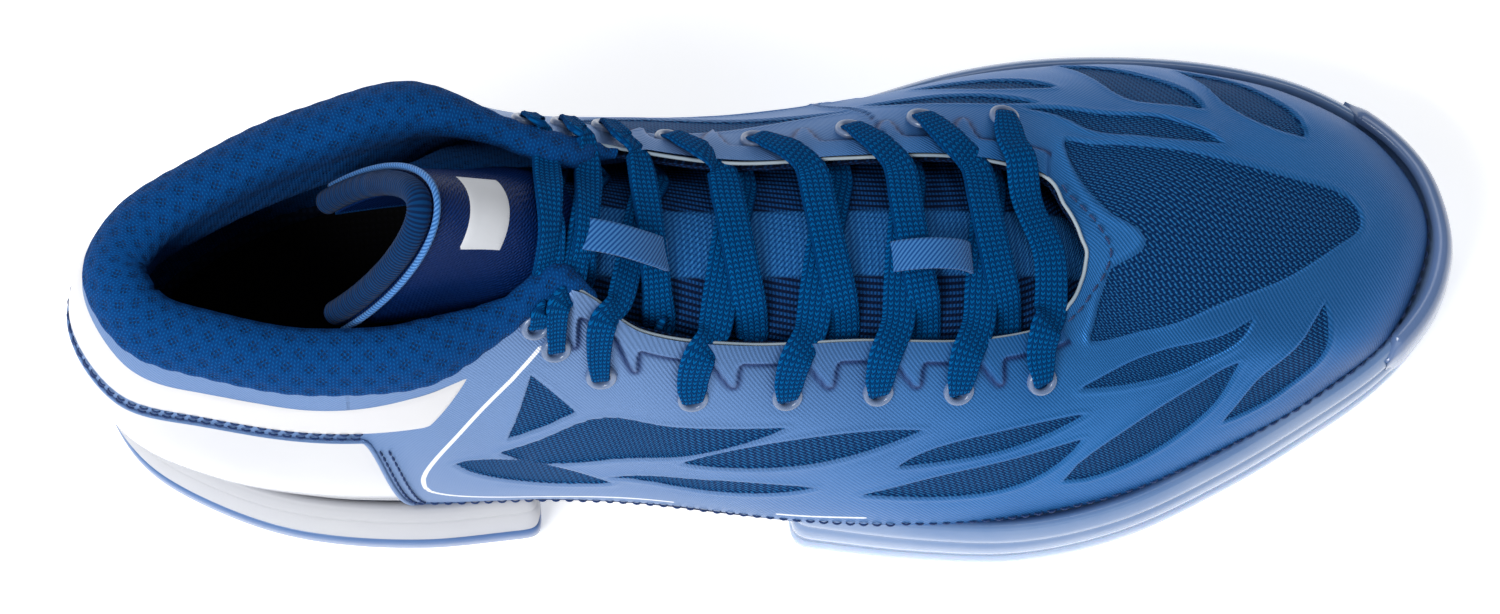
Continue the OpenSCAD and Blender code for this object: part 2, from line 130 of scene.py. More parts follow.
# Foot x y, top x y z, handle of the foot (out, up), handle of the top (out, down)
RIBS = [
    (-149, -2, -146, 0, 98, 7, 22, 9, 18), (-141, -18, -139, -14, 97.5, 8, 20, 9, 18),
    (-126, -28, -124, -21.5, 97.5, 7, 18, 7, 18), (-104, -35, -102, -27.5, 98, 6, 16, 6, 18),
    (-80, -38, -80, -28.5, 100.5, 6, 16, 6, 18), (-56, -39.5, -62, -21.5, 104, 6, 18, 11, 16),
    (-36, -42, -47.5, -14, 107, 6, 20, 15, 12), (-16, -46, -33, -21.5, 95.5, 5, 20, 11, 9),
    (6, -50, -12, -24, 87, 3, 18, 11, 7), (28, -52, 12, -23.5, 79.5, 2, 14, 12, 5),
    (50, -51.5, 34, -24, 73, 2, 12, 13, 4), (72, -47.5, 51, -21.5, 68, 2, 12, 14, 3),
    (93, -40, 58, -16, 66, 2, 12, 22, 2), (112, -31, 61, -11, 65.3, 3, 12, 30, 2),
    (130, -18, 62.3, -7, 65, 4, 14, 42, 3), (139.5, 3, 62.7, -4.5, 65, 5, 14, 46, 3),
    (132, 22, 62, -2, 65, 4, 14, 42, 3), (114, 36, 61, 1.5, 65.3, 3, 12, 34, 2),
    (92, 44, 59, 5.5, 66, 2, 12, 26, 2), (68, 47.5, 54.5, 12.5, 67, 2, 14, 20, 3),
    (44, 46, 36, 16.5, 73, 2, 16, 16, 3), (20, 41, 13, 16, 80.5, 3, 18, 15, 4),
    (-4, 36.5, -11, 15, 87.5, 5, 20, 15, 6), (-28, 33.5, -33, 17.5, 96, 7, 20, 14, 9),
    (-52, 33, -51, 20, 106.5, 7, 20, 12, 14), (-78, 34.5, -76, 32.5, 103, 6, 18, 5, 18),
    (-102, 33.5, -100, 29.5, 100, 6, 18, 6, 18), (-125, 26, -123, 21.5, 98.5, 7, 18, 7, 18),
    (-141, 14, -139, 12.5, 98, 8, 20, 9, 18),
]
RIB_N = len(RIBS)


def rib_handles():
    r = np.array(RIBS, float)
    foot = np.column_stack([r[:, :2], feather_z(r[:, 0])])
    v = np.roll(foot, -1, 0) - np.roll(foot, 1, 0)
    out = unit(np.column_stack([v[:, 1], -v[:, 0], 0 * v[:, 0]]))
    up = np.array([0, 0, 1.0])
    top = r[:, 2:5]
    low, high = foot + out * r[:, 5:6] + up * r[:, 6:7], top + out * r[:, 7:8] - up * r[:, 8:9]
    return np.stack([foot, low, high, top], 1)


HANDLES = rib_handles()


def film_point(s, t):
    s, t = np.broadcast_arrays(np.asarray(s, float), np.asarray(t, float))
    shape = s.shape
    c = closed_at(HANDLES, s.ravel())
    t = t.ravel()[:, None]
    p = c[:, 0] * (1 - t) ** 3 + 3 * c[:, 1] * t * (1 - t) ** 2
    p = p + 3 * c[:, 2] * t * t * (1 - t) + c[:, 3] * t**3
    return p.reshape(*shape, 3)


def upward(s, t):
    return unit(film_point(s, np.minimum(1, t + 0.02)) - film_point(s, np.maximum(0, t - 0.02)))


def outward(s, t):
    return unit(np.cross(film_point(s + 0.02, t) - film_point(s - 0.02, t), upward(s, t)))


def skin(s, t, depth):
    s, t = np.broadcast_arrays(np.asarray(s, float), np.asarray(t, float))
    return film_point(s, t) - np.asarray(depth, float)[..., None] * outward(s, t)


# ---- meshes ----


def grid_faces(rows, cols):
    i, j = np.meshgrid(np.arange(rows - 1), np.arange(cols - 1), indexing="ij")
    a = (i * cols + j).ravel()
    return np.column_stack([a, a + 1, a + cols + 1, a + cols])


def make(
    name, points, faces, material, slot, body="shoe", uv=None, values=None, weld=False, flat=False, flip=False
):
    """A mesh from points in mm, with a UV map in mm and float values at its points."""
    points = np.asarray(points, float).reshape(-1, 3)
    faces = [list(map(int, f)) for f in faces]
    if flip:
        faces = [f[::-1] for f in faces]
    mesh = bpy.data.meshes.new(name)
    mesh.from_pydata((points * MM).tolist(), [], faces)
    if uv is not None:
        layer = mesh.uv_layers.new(name="weave")
        index = np.empty(len(mesh.loops), int)
        mesh.loops.foreach_get("vertex_index", index)
        layer.data.foreach_set("uv", np.asarray(uv, float).reshape(-1, 2)[index].ravel())
    for key, v in (values or {}).items():
        mesh.attributes.new(key, "FLOAT", "POINT").data.foreach_set("value", np.asarray(v, float).ravel())
    if weld:
        b = bmesh.new()
        b.from_mesh(mesh)
        bmesh.ops.remove_doubles(b, verts=b.verts, dist=1e-6)
        b.to_mesh(mesh)
        b.free()
    if not flat:
        mesh.shade_smooth()
    o = bpy.data.objects.new(name, mesh)
    bpy.context.collection.objects.link(o)
    mesh.materials.append(material)
    if body:
        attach(o, body)
    return o


def grid(name, points, material, slot, uv=None, values=None, keep=None, **more):
    rows, cols = points.shape[:2]
    faces = grid_faces(rows, cols)
    if keep is not None:
        faces = faces[keep[:-1, :-1].ravel()]
    if uv is None:
        uv = np.stack([arc(points, 0), arc(points, 1)], -1)
    return make(name, points, faces, material, slot, uv=uv, values=values, **more)


def join_parts(parts):
    """Point and face lists of several pieces as one."""
    points, faces, start = [], [], 0
    for p, f in parts:
        p = np.asarray(p, float).reshape(-1, 3)
        points.append(p)
        faces += [[int(k) + start for k in q] for q in f]
        start += len(p)
    return np.vstack(points), faces


def tube(path, radius, sides=8, closed=False, squash=1.0, up=None):
    """A round or flattened tube on a path. Its radius may change along it."""
    p = np.asarray(path, float)
    n = len(p)
    d = unit(np.roll(p, -1, 0) - np.roll(p, 1, 0)) if closed else unit(np.gradient(p, axis=0))
    up = np.broadcast_to(np.array([0.1, 0.2, 1.0]) if up is None else up, p.shape)
    w = unit(np.cross(d, up))
    h = np.cross(w, d)
    r = np.broadcast_to(np.asarray(radius, float), (n,))[:, None, None]
    a = np.linspace(0, 2 * math.pi, sides, endpoint=False)[None, :, None]
    q = p[:, None] + r * (np.cos(a) * w[:, None] + squash * np.sin(a) * h[:, None])
    faces = []
    for i in range(n if closed else n - 1):
        for j in range(sides):
            a0, b0 = i * sides + j, i * sides + (j + 1) % sides
            a1, b1 = (i + 1) % n * sides + j, (i + 1) % n * sides + (j + 1) % sides
            faces.append([a0, b0, b1, a1])
    if not closed:
        faces += [list(range(sides))[::-1], [(n - 1) * sides + j for j in range(sides)]]
    return q.reshape(-1, 3), faces


def path_distance(points, path, reach=8.0):
    """Distance from points to a line of segments, up to a reach."""
    d = np.full(len(points), reach)
    lo, hi = path.min(0) - reach, path.max(0) + reach
    near = np.nonzero(np.all((points > lo) & (points < hi), axis=1))[0]
    q = points[near]
    best = np.full(len(q), reach)
    for a, b in zip(path[:-1], path[1:]):
        ab = b - a
        k = np.clip(((q - a) @ ab) / max(ab @ ab, 1e-9), 0, 1)
        best = np.minimum(best, np.linalg.norm(q - a - k[:, None] * ab, axis=1))
    d[near] = best
    return d


def inside(s, t, outline):
    odd = np.zeros(len(s), bool)
    for (s0, t0), (s1, t1) in zip(outline, np.roll(outline, -1, 0)):
        if s0 == s1:
            continue
        across = (s < s0) != (s < s1)
        odd ^= across & (t < t0 + (s - s0) * (t1 - t0) / (s1 - s0))
    return odd


def stitches(lines, length=2.0, gap=0.9, radius=0.24):
    """Raised thread dashes along lines of (points, normals)."""
    parts = []
    for points, normals in lines:
        run = arc(points)
        for a in np.arange(0.5, run[-1] - length, length + gap):
            at = np.linspace(a, a + length, 5)
            p = np.stack([np.interp(at, run, points[:, k]) for k in range(3)], -1)
            n = unit(np.stack([np.interp(at, run, normals[:, k]) for k in range(3)], -1))
            lift = np.array([-0.22, 0.1, 0.2, 0.1, -0.22])[:, None]
            parts.append(tube(p + n * lift, radius * np.array([0.55, 1, 1.05, 1, 0.55]), 6, up=n))
    return join_parts(parts)


# ---- materials ----


class Shade:
    """A material made of nodes."""

    def __init__(self, name, **values):
        self.m = bpy.data.materials.new(name)
        self.m.use_nodes = True
        self.tree = self.m.node_tree
        self.tree.nodes.clear()
        out = self.tree.nodes.new("ShaderNodeOutputMaterial")
        self.b = self.tree.nodes.new("ShaderNodeBsdfPrincipled")
        self.tree.links.new(self.b.outputs[0], out.inputs[0])
        self.set(**values)

    def put(self, socket, v):
        if isinstance(v, bpy.types.NodeSocket):
            self.tree.links.new(v, socket)
        elif socket.type == "RGBA":
            socket.default_value = (*v, 1)
        else:
            socket.default_value = v

    def set(self, **values):
        for k, v in values.items():
            self.put(self.b.inputs[k.replace("_", " ")], v)
        return self

    def node(self, kind, out=0, ins=(), **props):
        n = self.tree.nodes.new("ShaderNode" + kind)
        for k, v in props.items():
            setattr(n, k, v)
        for i, v in enumerate(ins):
            if v is not None:
                self.put(n.inputs[i], v)
        return n.outputs[out]

    def math(self, op, a, b=None, c=None, clamp=False):
        return self.node("Math", ins=(a, b, c), operation=op, use_clamp=clamp)

    def add(self, a, b):
        return self.math("ADD", a, b)

    def mul(self, a, b):
        return self.math("MULTIPLY", a, b)

    def mix(self, f, a, b):
        n = self.tree.nodes.new("ShaderNodeMix")
        n.data_type = "RGBA"
        for i, v in ((0, f), (6, a), (7, b)):
            self.put(n.inputs[i], v)
        return n.outputs[2]

    def span(self, v, a, b, lo=0.0, hi=1.0):
        return self.node("MapRange", ins=(v, a, b, lo, hi), interpolation_type="SMOOTHSTEP")

    def uv(self):
        n = self.tree.nodes.new("ShaderNodeUVMap")
        n.uv_map = "weave"
        s = self.tree.nodes.new("ShaderNodeSeparateXYZ")
        self.tree.links.new(n.outputs[0], s.inputs[0])
        return s.outputs[0], s.outputs[1]

    def place(self):
        n = self.tree.nodes.new("ShaderNodeTexCoord")
        s = self.tree.nodes.new("ShaderNodeSeparateXYZ")
        self.tree.links.new(n.outputs["Object"], s.inputs[0])
        return [self.mul(k, 1000.0) for k in s.outputs]

    def value(self, name):
        n = self.tree.nodes.new("ShaderNodeAttribute")
        n.attribute_name = name
        return n.outputs["Fac"]

    def wave(self, x, pitch, phase=0.0):
        """0 to 1 and back once a pitch."""
        w = self.math("SINE", self.math("MULTIPLY_ADD", x, 2 * math.pi / pitch, phase))
        return self.math("MULTIPLY_ADD", w, 0.5, 0.5)

    def turned(self, u, v, degrees):
        a = math.radians(degrees)
        return self.add(self.mul(u, math.cos(a)), self.mul(v, math.sin(a)))

    def noise(self, scale, detail=3.0, rough=0.5):
        n = self.tree.nodes.new("ShaderNodeTexNoise")
        c = self.tree.nodes.new("ShaderNodeTexCoord")
        self.tree.links.new(c.outputs["Object"], n.inputs["Vector"])
        n.inputs["Scale"].default_value = scale
        n.inputs["Detail"].default_value = detail
        n.inputs["Roughness"].default_value = rough
        return n.outputs[0]

    def bump(self, height, distance, strength=1.0):
        n = self.tree.nodes.new("ShaderNodeBump")
        n.inputs["Strength"].default_value = strength
        n.inputs["Distance"].default_value = distance * MM
        self.put(n.inputs["Height"], height)
        self.put(self.b.inputs["Normal"], n.outputs[0])
        return self


def film_material():
    m = Shade("film", Metallic=0.5, Specular_IOR_Level=0.12)
    u, v = m.uv()
    twill = m.wave(m.turned(u, v, 48), 0.62)
    window = m.span(m.value("window"), 0.12, -0.12)
    rib = m.wave(m.turned(u, v, 22), 1.25)
    thread = m.wave(m.turned(u, v, 108), 0.58)
    weft = m.wave(m.turned(u, v, 62), 0.66)
    cloth = m.mul(m.add(m.mul(rib, 0.55), m.mul(thread, 0.45)), weft)
    tint = m.noise(30, 2)
    blue = m.mix(m.span(tint, 0.3, 0.7), (0.009, 0.100, 0.305), (0.014, 0.120, 0.345))
    blue = m.mix(m.mul(m.span(twill, 0.15, 0.9), 0.55), blue, (0.050, 0.200, 0.520))
    mesh = m.mix(m.span(cloth, 0.08, 0.62), (0.001, 0.022, 0.100), (0.010, 0.140, 0.380))
    mesh = m.mix(m.mul(m.span(m.mul(thread, weft), 0.5, 0.95), 0.5), mesh, (0.065, 0.215, 0.390))
    # painted reflection: the film is mixed towards a paler, greyer blue, more so towards the heel
    blue = m.mix(m.mul(m.value("painted_reflection"), 0.8), blue, (0.160, 0.255, 0.460))
    colour = m.mix(window, blue, mesh)
    # painted shade from the dark value, which also draws the medial seam's dark line
    colour = m.mix(m.value("dark"), colour, (0.010, 0.030, 0.120))
    colour = m.mix(m.span(m.value("line"), 0.62, 0.45), colour, (0.80, 0.83, 0.90))
    m.set(Base_Color=colour, Roughness=m.node("Mix", ins=(window, None, 0.40, 0.72)))
    m.bump(m.add(m.mul(twill, m.math("SUBTRACT", 1.0, window)), m.mul(m.mul(cloth, window), 4.0)), 0.10, 0.7)
    return m.m


KNIT_CELL, KNIT_ROW = 5.0, 3.3


def knit_material():
    """The collar's knit, with clusters of small holes in a staggered lattice."""
    m = Shade("collar_knit", Roughness=0.9, Sheen_Weight=0.03, Sheen_Roughness=0.5, Specular_IOR_Level=0.1)
    u, v = m.uv()
    m.set(Sheen_Tint=(0.25, 0.45, 1.0))
    row = m.math("FLOOR", m.mul(v, 1 / KNIT_ROW))
    shift = m.mul(m.math("MODULO", m.math("ABSOLUTE", row), 2.0), KNIT_CELL / 2)
    x = m.math("SUBTRACT", m.math("FRACT", m.mul(m.add(u, shift), 1 / KNIT_CELL)), 0.5)
    y = m.math("SUBTRACT", m.math("FRACT", m.mul(v, 1 / KNIT_ROW)), 0.5)
    x, y = m.mul(x, KNIT_CELL), m.mul(y, KNIT_ROW)
    r = m.math("SQRT", m.add(m.mul(x, x), m.mul(y, y)))
    cluster = m.span(r, 1.5, 0.9)
    hole = m.mul(m.wave(m.add(u, v), 1.25), m.wave(m.math("SUBTRACT", u, v), 1.25))
    dark = m.mul(cluster, m.span(hole, 0.25, 0.55))
    stitch = m.mul(m.wave(m.add(v, m.mul(m.wave(u, 1.5), 0.5)), 0.95), m.wave(u, 0.75))
    blue = m.mix(m.span(stitch, 0.1, 0.8), (0.000, 0.038, 0.160), (0.000, 0.078, 0.280))
    m.set(Base_Color=m.mix(m.mul(dark, 0.85), blue, (0.006, 0.022, 0.070)))
    m.bump(m.math("SUBTRACT", m.mul(stitch, 0.5), m.mul(dark, 1.2)), 0.28)
    return m.m


def lace_material():
    """A flat tubular braid: columns of slanted stitches, leaning left and right in turn."""
    m = Shade("lace", Roughness=0.85, Specular_IOR_Level=0.04)
    u, v = m.uv()
    column = m.math("PINGPONG", v, 0.72)
    side = m.wave(m.add(u, m.mul(column, 0.85)), 1.08)
    body = m.span(column, 0.03, 0.3)
    stitch = m.mul(body, m.span(side, 0.12, 0.6))
    fuzz = m.noise(2600, 2)
    colour = m.mix(stitch, (0.000, 0.034, 0.135), (0.000, 0.090, 0.285))
    colour = m.mix(m.mul(m.span(m.mul(stitch, fuzz), 0.4, 0.7), 0.35), colour, (0.001, 0.12, 0.33))
    m.set(Base_Color=colour)
    m.bump(m.add(stitch, m.mul(fuzz, 0.25)), 0.30)
    return m.m


def tongue_material():
    """Twill down the middle, ribbed mesh at the sides, satin twill on the padded top."""
    m = Shade("tongue", Roughness=0.75, Specular_IOR_Level=0.1)
    u, v = m.uv()
    twill = m.wave(m.turned(u, v, 40), 0.72)
    wide = m.wave(u, 1.5)
    centre = m.mix(m.mul(twill, m.add(m.mul(wide, 0.45), 0.55)), (0.001, 0.040, 0.180), (0.030, 0.190, 0.480))
    row, cell = m.wave(v, 1.35), m.wave(u, 0.8)
    holes = m.mul(m.span(row, 0.2, 0.75), m.add(m.mul(cell, 0.75), 0.25))
    sides = m.mix(holes, (0.001, 0.006, 0.030), (0.006, 0.070, 0.245))
    low = m.mix(m.span(m.value("centre"), -0.4, 0.4), sides, centre)
    satin = m.mix(m.wave(m.turned(u, v, 62), 0.8), (0.000, 0.006, 0.045), (0.003, 0.024, 0.125))
    top = m.span(m.value("top"), -0.5, 0.5)
    m.set(Base_Color=m.mix(top, low, satin), Roughness=m.node("Mix", ins=(top, None, 0.7, 0.42)))
    m.bump(m.add(m.mul(twill, 0.5), m.mul(holes, 0.8)), 0.16)
    return m.m


def cloth_material(name, dark, light, pitch=0.8, angle=45, rough=0.8, sheen=0.2, depth=0.12, across=None):
    m = Shade(name, Roughness=rough, Sheen_Weight=sheen, Specular_IOR_Level=0.1)
    u, v = m.uv()
    w = m.wave(m.turned(u, v, angle), pitch)
    if across:
        w = m.mul(w, m.add(m.mul(m.wave(m.turned(u, v, angle + 90), across), 0.6), 0.4))
    m.set(Base_Color=m.mix(m.span(w, 0.1, 0.8), dark, light))
    m.bump(m.add(w, m.mul(m.noise(1500, 2), 0.3)), depth)
    return m.m


def place_cloth(name, dark, light, pitch=1.0, rough=0.9):
    """A knit for CAD nodes, which have no UV map."""
    m = Shade(name, Roughness=rough, Specular_IOR_Level=0.2)
    x, y, z = m.place()
    w = m.mul(m.wave(m.add(x, m.mul(z, 0.6)), pitch), m.wave(m.add(m.mul(y, 0.8), z), pitch * 0.9))
    m.set(Base_Color=m.mix(m.span(w, 0.05, 0.7), dark, light))
    m.bump(w, 0.15)
    return m.m


def rubber_material(name, colour, rough=0.28, coat=0.3, deep=None, grain=0.03, **more):
    m = Shade(name, Roughness=rough, Coat_Weight=coat, Coat_Roughness=0.12, **more)
    tint = m.span(m.noise(45, 3), 0.3, 0.7)
    m.set(Base_Color=m.mix(tint, deep or [c * 0.85 for c in colour], colour))
    m.bump(m.noise(900, 2), grain, 0.5)
    return m.m


FILM = film_material()
KNIT = knit_material()
LACE = lace_material()
TONGUE_CLOTH = tongue_material()
THREAD = cloth_material("stitch_thread", (0.004, 0.030, 0.140), (0.010, 0.075, 0.300), 0.5, 40)
BINDING = cloth_material("binding_rib", (0.000, 0.012, 0.055), (0.000, 0.034, 0.125), 0.8, 0, 0.85, 0.03, 0.2)
# light-blue piping, its light colour partly a painted highlight along the satin edge
PIPING_WITH_PAINTED_HIGHLIGHT = cloth_material("piping", (0.02, 0.11, 0.34), (0.09, 0.26, 0.60), 0.8, 35, 0.45, 0.1)
LOOP = cloth_material("loop_webbing", (0.006, 0.062, 0.235), (0.050, 0.190, 0.460), 0.75, 42, 0.6, 0.1, 0.1)
# the cloths inside the shoe: dark, and made darker still as painted shade of the shoe's inside
LINER_WITH_PAINTED_SHADE = place_cloth("liner_mesh", (0.001, 0.006, 0.030), (0.004, 0.040, 0.150))
BLACK_CLOTH_WITH_PAINTED_SHADE = place_cloth("sock_cloth", (0.0004, 0.0005, 0.001), (0.002, 0.002, 0.004), 1.4)
BOARD_WITH_PAINTED_SHADE = place_cloth("board_cloth", (0.004, 0.012, 0.040), (0.010, 0.030, 0.090), 1.6, 0.8)
WHITE_GLOSS = rubber_material("counter_gloss", (0.54, 0.55, 0.58), 0.16, 0.5, (0.52, 0.53, 0.57), 0.01)
WHITE_PRINT = rubber_material("white_print", (0.62, 0.62, 0.64), 0.38, 0.15, (0.60, 0.60, 0.63), 0.02)
WHITE_FOAM = rubber_material("midsole_foam", (0.45, 0.46, 0.49), 0.5, 0.05, (0.43, 0.44, 0.48), 0.05)
PALE_EDGE = rubber_material("cut_edge", (0.38, 0.46, 0.52), 0.6, 0.0, (0.26, 0.34, 0.42), 0.05)
HEEL_RUBBER = rubber_material("heel_rubber", (0.075, 0.165, 0.370), 0.3, 0.25, (0.060, 0.140, 0.340))
SIDE_RUBBER = rubber_material("sidewall_rubber", (0.160, 0.255, 0.450), 0.18, 0.4, (0.110, 0.210, 0.420))
PALE_RUBBER = rubber_material(
    "tread_rubber", (0.44, 0.54, 0.72), 0.3, 0.4, (0.36, 0.47, 0.68), 0.03, Subsurface_Weight=0.3,
    Subsurface_Scale=0.004
)
GUARD_RUBBER = rubber_material("guard_rubber", (0.115, 0.185, 0.360), 0.22, 0.4, (0.095, 0.165, 0.330))
RING = rubber_material("eyelet_ring", (0.13, 0.19, 0.33), 0.3, 0.4, (0.11, 0.17, 0.30))
PLATE = rubber_material("shank_plastic", (0.015, 0.050, 0.180), 0.25, 0.4)
PATCH = rubber_material("plain_patch", (0.62, 0.64, 0.68), 0.6, 0.0)
STIFF = rubber_material("stiffener_board", (0.45, 0.45, 0.46), 0.7, 0.0)

# ---- the film upper ----


def leaf(s0, t0, s1, t1, up, down, peak):
    """A leaf-shaped window between two tips, its bellies as heights above and below the line between them."""
    k = np.linspace(0, 1, 15)
    warp = k ** (math.log(0.5) / math.log(peak))
    belly = np.sin(math.pi * warp) ** 0.85
    s, t = lerp(s0, s1, k), lerp(t0, t1, k)
    over = np.column_stack([s, t + up * belly])
    under = np.column_stack([s, t - down * belly])
    return np.vstack([over, under[-2:0:-1]])


TOE_WINDOW = closed_at([
    (18.5, 0.81), (17.0, 0.76), (16.1, 0.70), (15.65, 0.60), (15.35, 0.47), (15.05, 0.46), (14.85, 0.54),
    (14.6, 0.63), (14.3, 0.73), (13.9, 0.78), (13.1, 0.81), (11.9, 0.86), (12.9, 0.93), (14.3, 0.955),
    (15.2, 0.90), (16.2, 0.93), (17.7, 0.90),
], np.arange(0, 17, 0.25))
WINDOWS = [
    np.array([(5.3, 0.765), (5.52, 0.67), (5.74, 0.575), (5.28, 0.56), (4.83, 0.55), (5.06, 0.66)]),
    leaf(4.7, 0.49, 8.1, 0.617, 0.005, 0.16, 0.38), leaf(6.8, 0.41, 9.3, 0.60, 0.055, 0.055, 0.5),
    leaf(4.25, 0.47, 5.8, 0.25, 0.05, 0.09, 0.4), leaf(5.75, 0.285, 8.0, 0.335, 0.025, 0.05, 0.6),
    leaf(8.4, 0.30, 10.75, 0.483, 0.035, 0.10, 0.55), leaf(8.9, 0.443, 10.95, 0.588, 0.065, 0.015, 0.45),
    leaf(10.35, 0.30, 13.35, 0.567, 0.09, 0.07, 0.35), leaf(12.2, 0.317, 14.35, 0.51, 0.05, 0.07, 0.5),
    leaf(11.1, 0.70, 14.15, 0.66, 0.055, 0.045, 0.5), TOE_WINDOW,
    leaf(16.0, 0.46, 17.95, 0.25, 0.12, 0.03, 0.4), leaf(16.9, 0.55, 19.1, 0.30, 0.13, 0.035, 0.55),
    leaf(16.2, 0.65, 19.25, 0.70, 0.06, 0.03, 0.4), leaf(19.0, 0.55, 20.4, 0.47, 0.045, 0.05, 0.5),
    leaf(19.15, 0.665, 20.8, 0.61, 0.03, 0.035, 0.5), leaf(20.95, 0.66, 23.65, 0.75, 0.11, 0.10, 0.7),
    leaf(21.1, 0.47, 24.0, 0.58, 0.05, 0.06, 0.5), leaf(21.0, 0.33, 25.1, 0.44, 0.03, 0.11, 0.55),
    leaf(23.3, 0.27, 25.0, 0.22, 0.04, 0.05, 0.5), leaf(20.2, 0.24, 22.6, 0.17, 0.05, 0.04, 0.5),
]
PRINT = [
    [(5.5, 0.835), (5.1, 0.80), (4.6, 0.71), (4.2, 0.58), (3.98, 0.45),
     (3.93, 0.34), (4.02, 0.25), (4.4, 0.18), (5.15, 0.13), (6.4, 0.125)],
    [(7.45, 0.12), (8.3, 0.125)],
]
LATERAL = [
    (10.7, 0.77), (9.8, 0.77), (9.05, 0.76), (8.25, 0.75),
    (7.35, 0.72), (6.25, 0.7), (5.72, 0.8), (5.48, 0.92),
]
MEDIAL = [
    (19.45, 0.76), (20.25, 0.78), (20.9, 0.82), (21.75, 0.85),
    (22.55, 0.87), (23.2, 0.82), (23.7, 0.84), (24.1, 0.9),
]
MEDIAL_SEAM = [
    (20.62, 0.99), (20.64, 0.88), (20.72, 0.73), (20.9, 0.64),
    (21.15, 0.57), (21.3, 0.45), (21.2, 0.2), (21.1, 0),
]
RIDGE_RISE, EYELET_HOLE = 1.25, 1.75


def bell(x, width):
    return np.exp(-(x / width) ** 2)


def ribs_from_heel(s):
    w = np.mod(s, RIB_N)
    return np.minimum(w, RIB_N - w)


def film_edge(s):
    """Lower edge of the film, which runs over the heel counter and drops at its front."""
    r = ribs_from_heel(s)
    return lerp(0.53, 0.66, ease(r / 2.4)) * (1 - ease((r - 3.42) / 0.42)) ** 0.8


def ridge_line(s, eyes):
    """Height of the eyestay's ridge: close under the throat's edge, with a sharp dip between eyelets."""
    e = np.sort(np.array([k for k, _ in eyes]))
    mids = (e[1:] + e[:-1]) / 2
    dip = np.max(np.clip(1 - np.abs(np.asarray(s)[:, None] - mids) / 0.17, 0, 1), axis=1)
    return 0.905 - 0.115 * ease(dip) ** 1.3


def on_skin(path, depth=0.0):
    p = np.asarray(path, float)
    return skin(p[:, 0], p[:, 1], depth)


def dense(path, step=0.04):
    n = len(path)
    return open_at(path, np.arange(0, n - 1 + step / 2, step * 2))


COLS, ROWS = 27, 132
S = np.linspace(0, RIB_N, RIB_N * COLS + 1)[None, :].repeat(ROWS + 1, 0)
low = film_edge(S[0])
T = low + (1 - low) * np.linspace(0, 1, ROWS + 1)[:, None]
base = film_point(S, T)
normal = outward(S, T)
flat_p, flat_s, flat_t = base.reshape(-1, 3), np.mod(S.ravel(), RIB_N), T.ravel()

window = np.full(len(flat_p), 8.0)
for w in WINDOWS:
    edge = on_skin(np.vstack([w, w[:1]]))
    d = path_distance(flat_p, edge)
    window = np.minimum(window, np.where(inside(flat_s, flat_t, w), -d, d))
line = np.full(len(flat_p), 8.0)
for w in PRINT:
    line = np.minimum(line, path_distance(flat_p, on_skin(dense(w))))

height = np.zeros(len(flat_p))
height -= 0.55 * ease((0.35 - window) / 0.7)
height += 0.18 * bell(window - 0.9, 0.55)
# painted shade for the film's dark value: a painted shadow at the foot of each eyestay ridge and round the
# toe, and a dark line along the medial seam
painted_shade_and_seam_line = np.zeros(len(flat_p))
for eyes, a, b in ((LATERAL, 5.9, 11.45), (MEDIAL, 18.75, 23.0)):
    k = np.arange(a, b, 0.012)
    ridge = on_skin(np.column_stack([k, ridge_line(k, eyes)]))
    d = path_distance(flat_p, ridge)
    span = (flat_s > a) & (flat_s < b)
    above = span & (flat_t > ridge_line(flat_s, eyes))
    side = np.where(above, d, -d)
    raised = np.where(span, RIDGE_RISE * ease((side + 0.7) / 1.3), 0)
    height += raised * ease((flat_s - a) / 0.2) * ease((b - flat_s) / 0.2)
    # painted shadow just below the ridge, where the raised stay steps down
    painted_shade_and_seam_line = np.maximum(painted_shade_and_seam_line, bell(side + 0.5, 0.75) * span)
d = path_distance(flat_p, on_skin(dense(MEDIAL_SEAM)))
painted_shade_and_seam_line = np.maximum(painted_shade_and_seam_line, 0.8 * bell(d, 0.35))
height += 0.35 * bell(d - 0.8, 0.6) - 0.25 * bell(d, 0.3)
# the stay sinks a little round each eyelet, painted shade darkens the film low round the toe, and soft
# ripples cross it
for s0, t0 in LATERAL + MEDIAL:
    d = np.linalg.norm(flat_p - film_point(s0, t0), axis=1)
    height -= 0.35 * bell(d, 3.6)
# painted shade low round the front of the toe
toe_painted_shade = ease((0.45 - flat_t) / 0.35) * ease((flat_p[:, 0] - 85) / 35)
painted_shade_and_seam_line = np.maximum(painted_shade_and_seam_line, 0.5 * toe_painted_shade)
x, y, z = flat_p.T
ripple = np.sin(x / 6.1 + 1.3 * np.sin(y / 17)) * np.sin(y / 11 + z / 9)
height += 0.16 * ripple * ease((window - 1) / 3)
points = flat_p + normal.reshape(-1, 3) * height[:, None]
points = points.reshape(ROWS + 1, -1, 3)

plan = unit((base[0] - base[-1]) * np.array([1, 1, 0]))
flat_uv = base[-1:, :, :2] + plan[None, :, :2] * (arc(base, 0)[-1:] - arc(base, 0))[..., None]
heel_uv = np.stack([arc(film_point(S[:1], 0.8), 1).repeat(ROWS + 1, 0), arc(base, 0)], -1)
near_heel = (ribs_from_heel(S) < 3.3)[..., None]
uv = np.where(near_heel, heel_uv, flat_uv)

hole = np.zeros(len(flat_p), bool)
for s0, t0 in LATERAL + MEDIAL:
    hole |= np.linalg.norm(flat_p - film_point(s0, t0), axis=1) < EYELET_HOLE
# the value for the painted reflection grows from the toe to the heel
film = grid(
    "film_upper", points, FILM, "film", uv=uv, keep=~hole.reshape(ROWS + 1, -1), weld=True,
    values={"window": window, "line": line, "dark": painted_shade_and_seam_line, "painted_reflection": ease((55 - flat_p[:, 0]) / 110)},
)
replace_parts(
    film, "vamp", "quarter_lateral", "quarter_medial", "heel_quarter", "eyestay_lateral", "eyestay_medial"
)

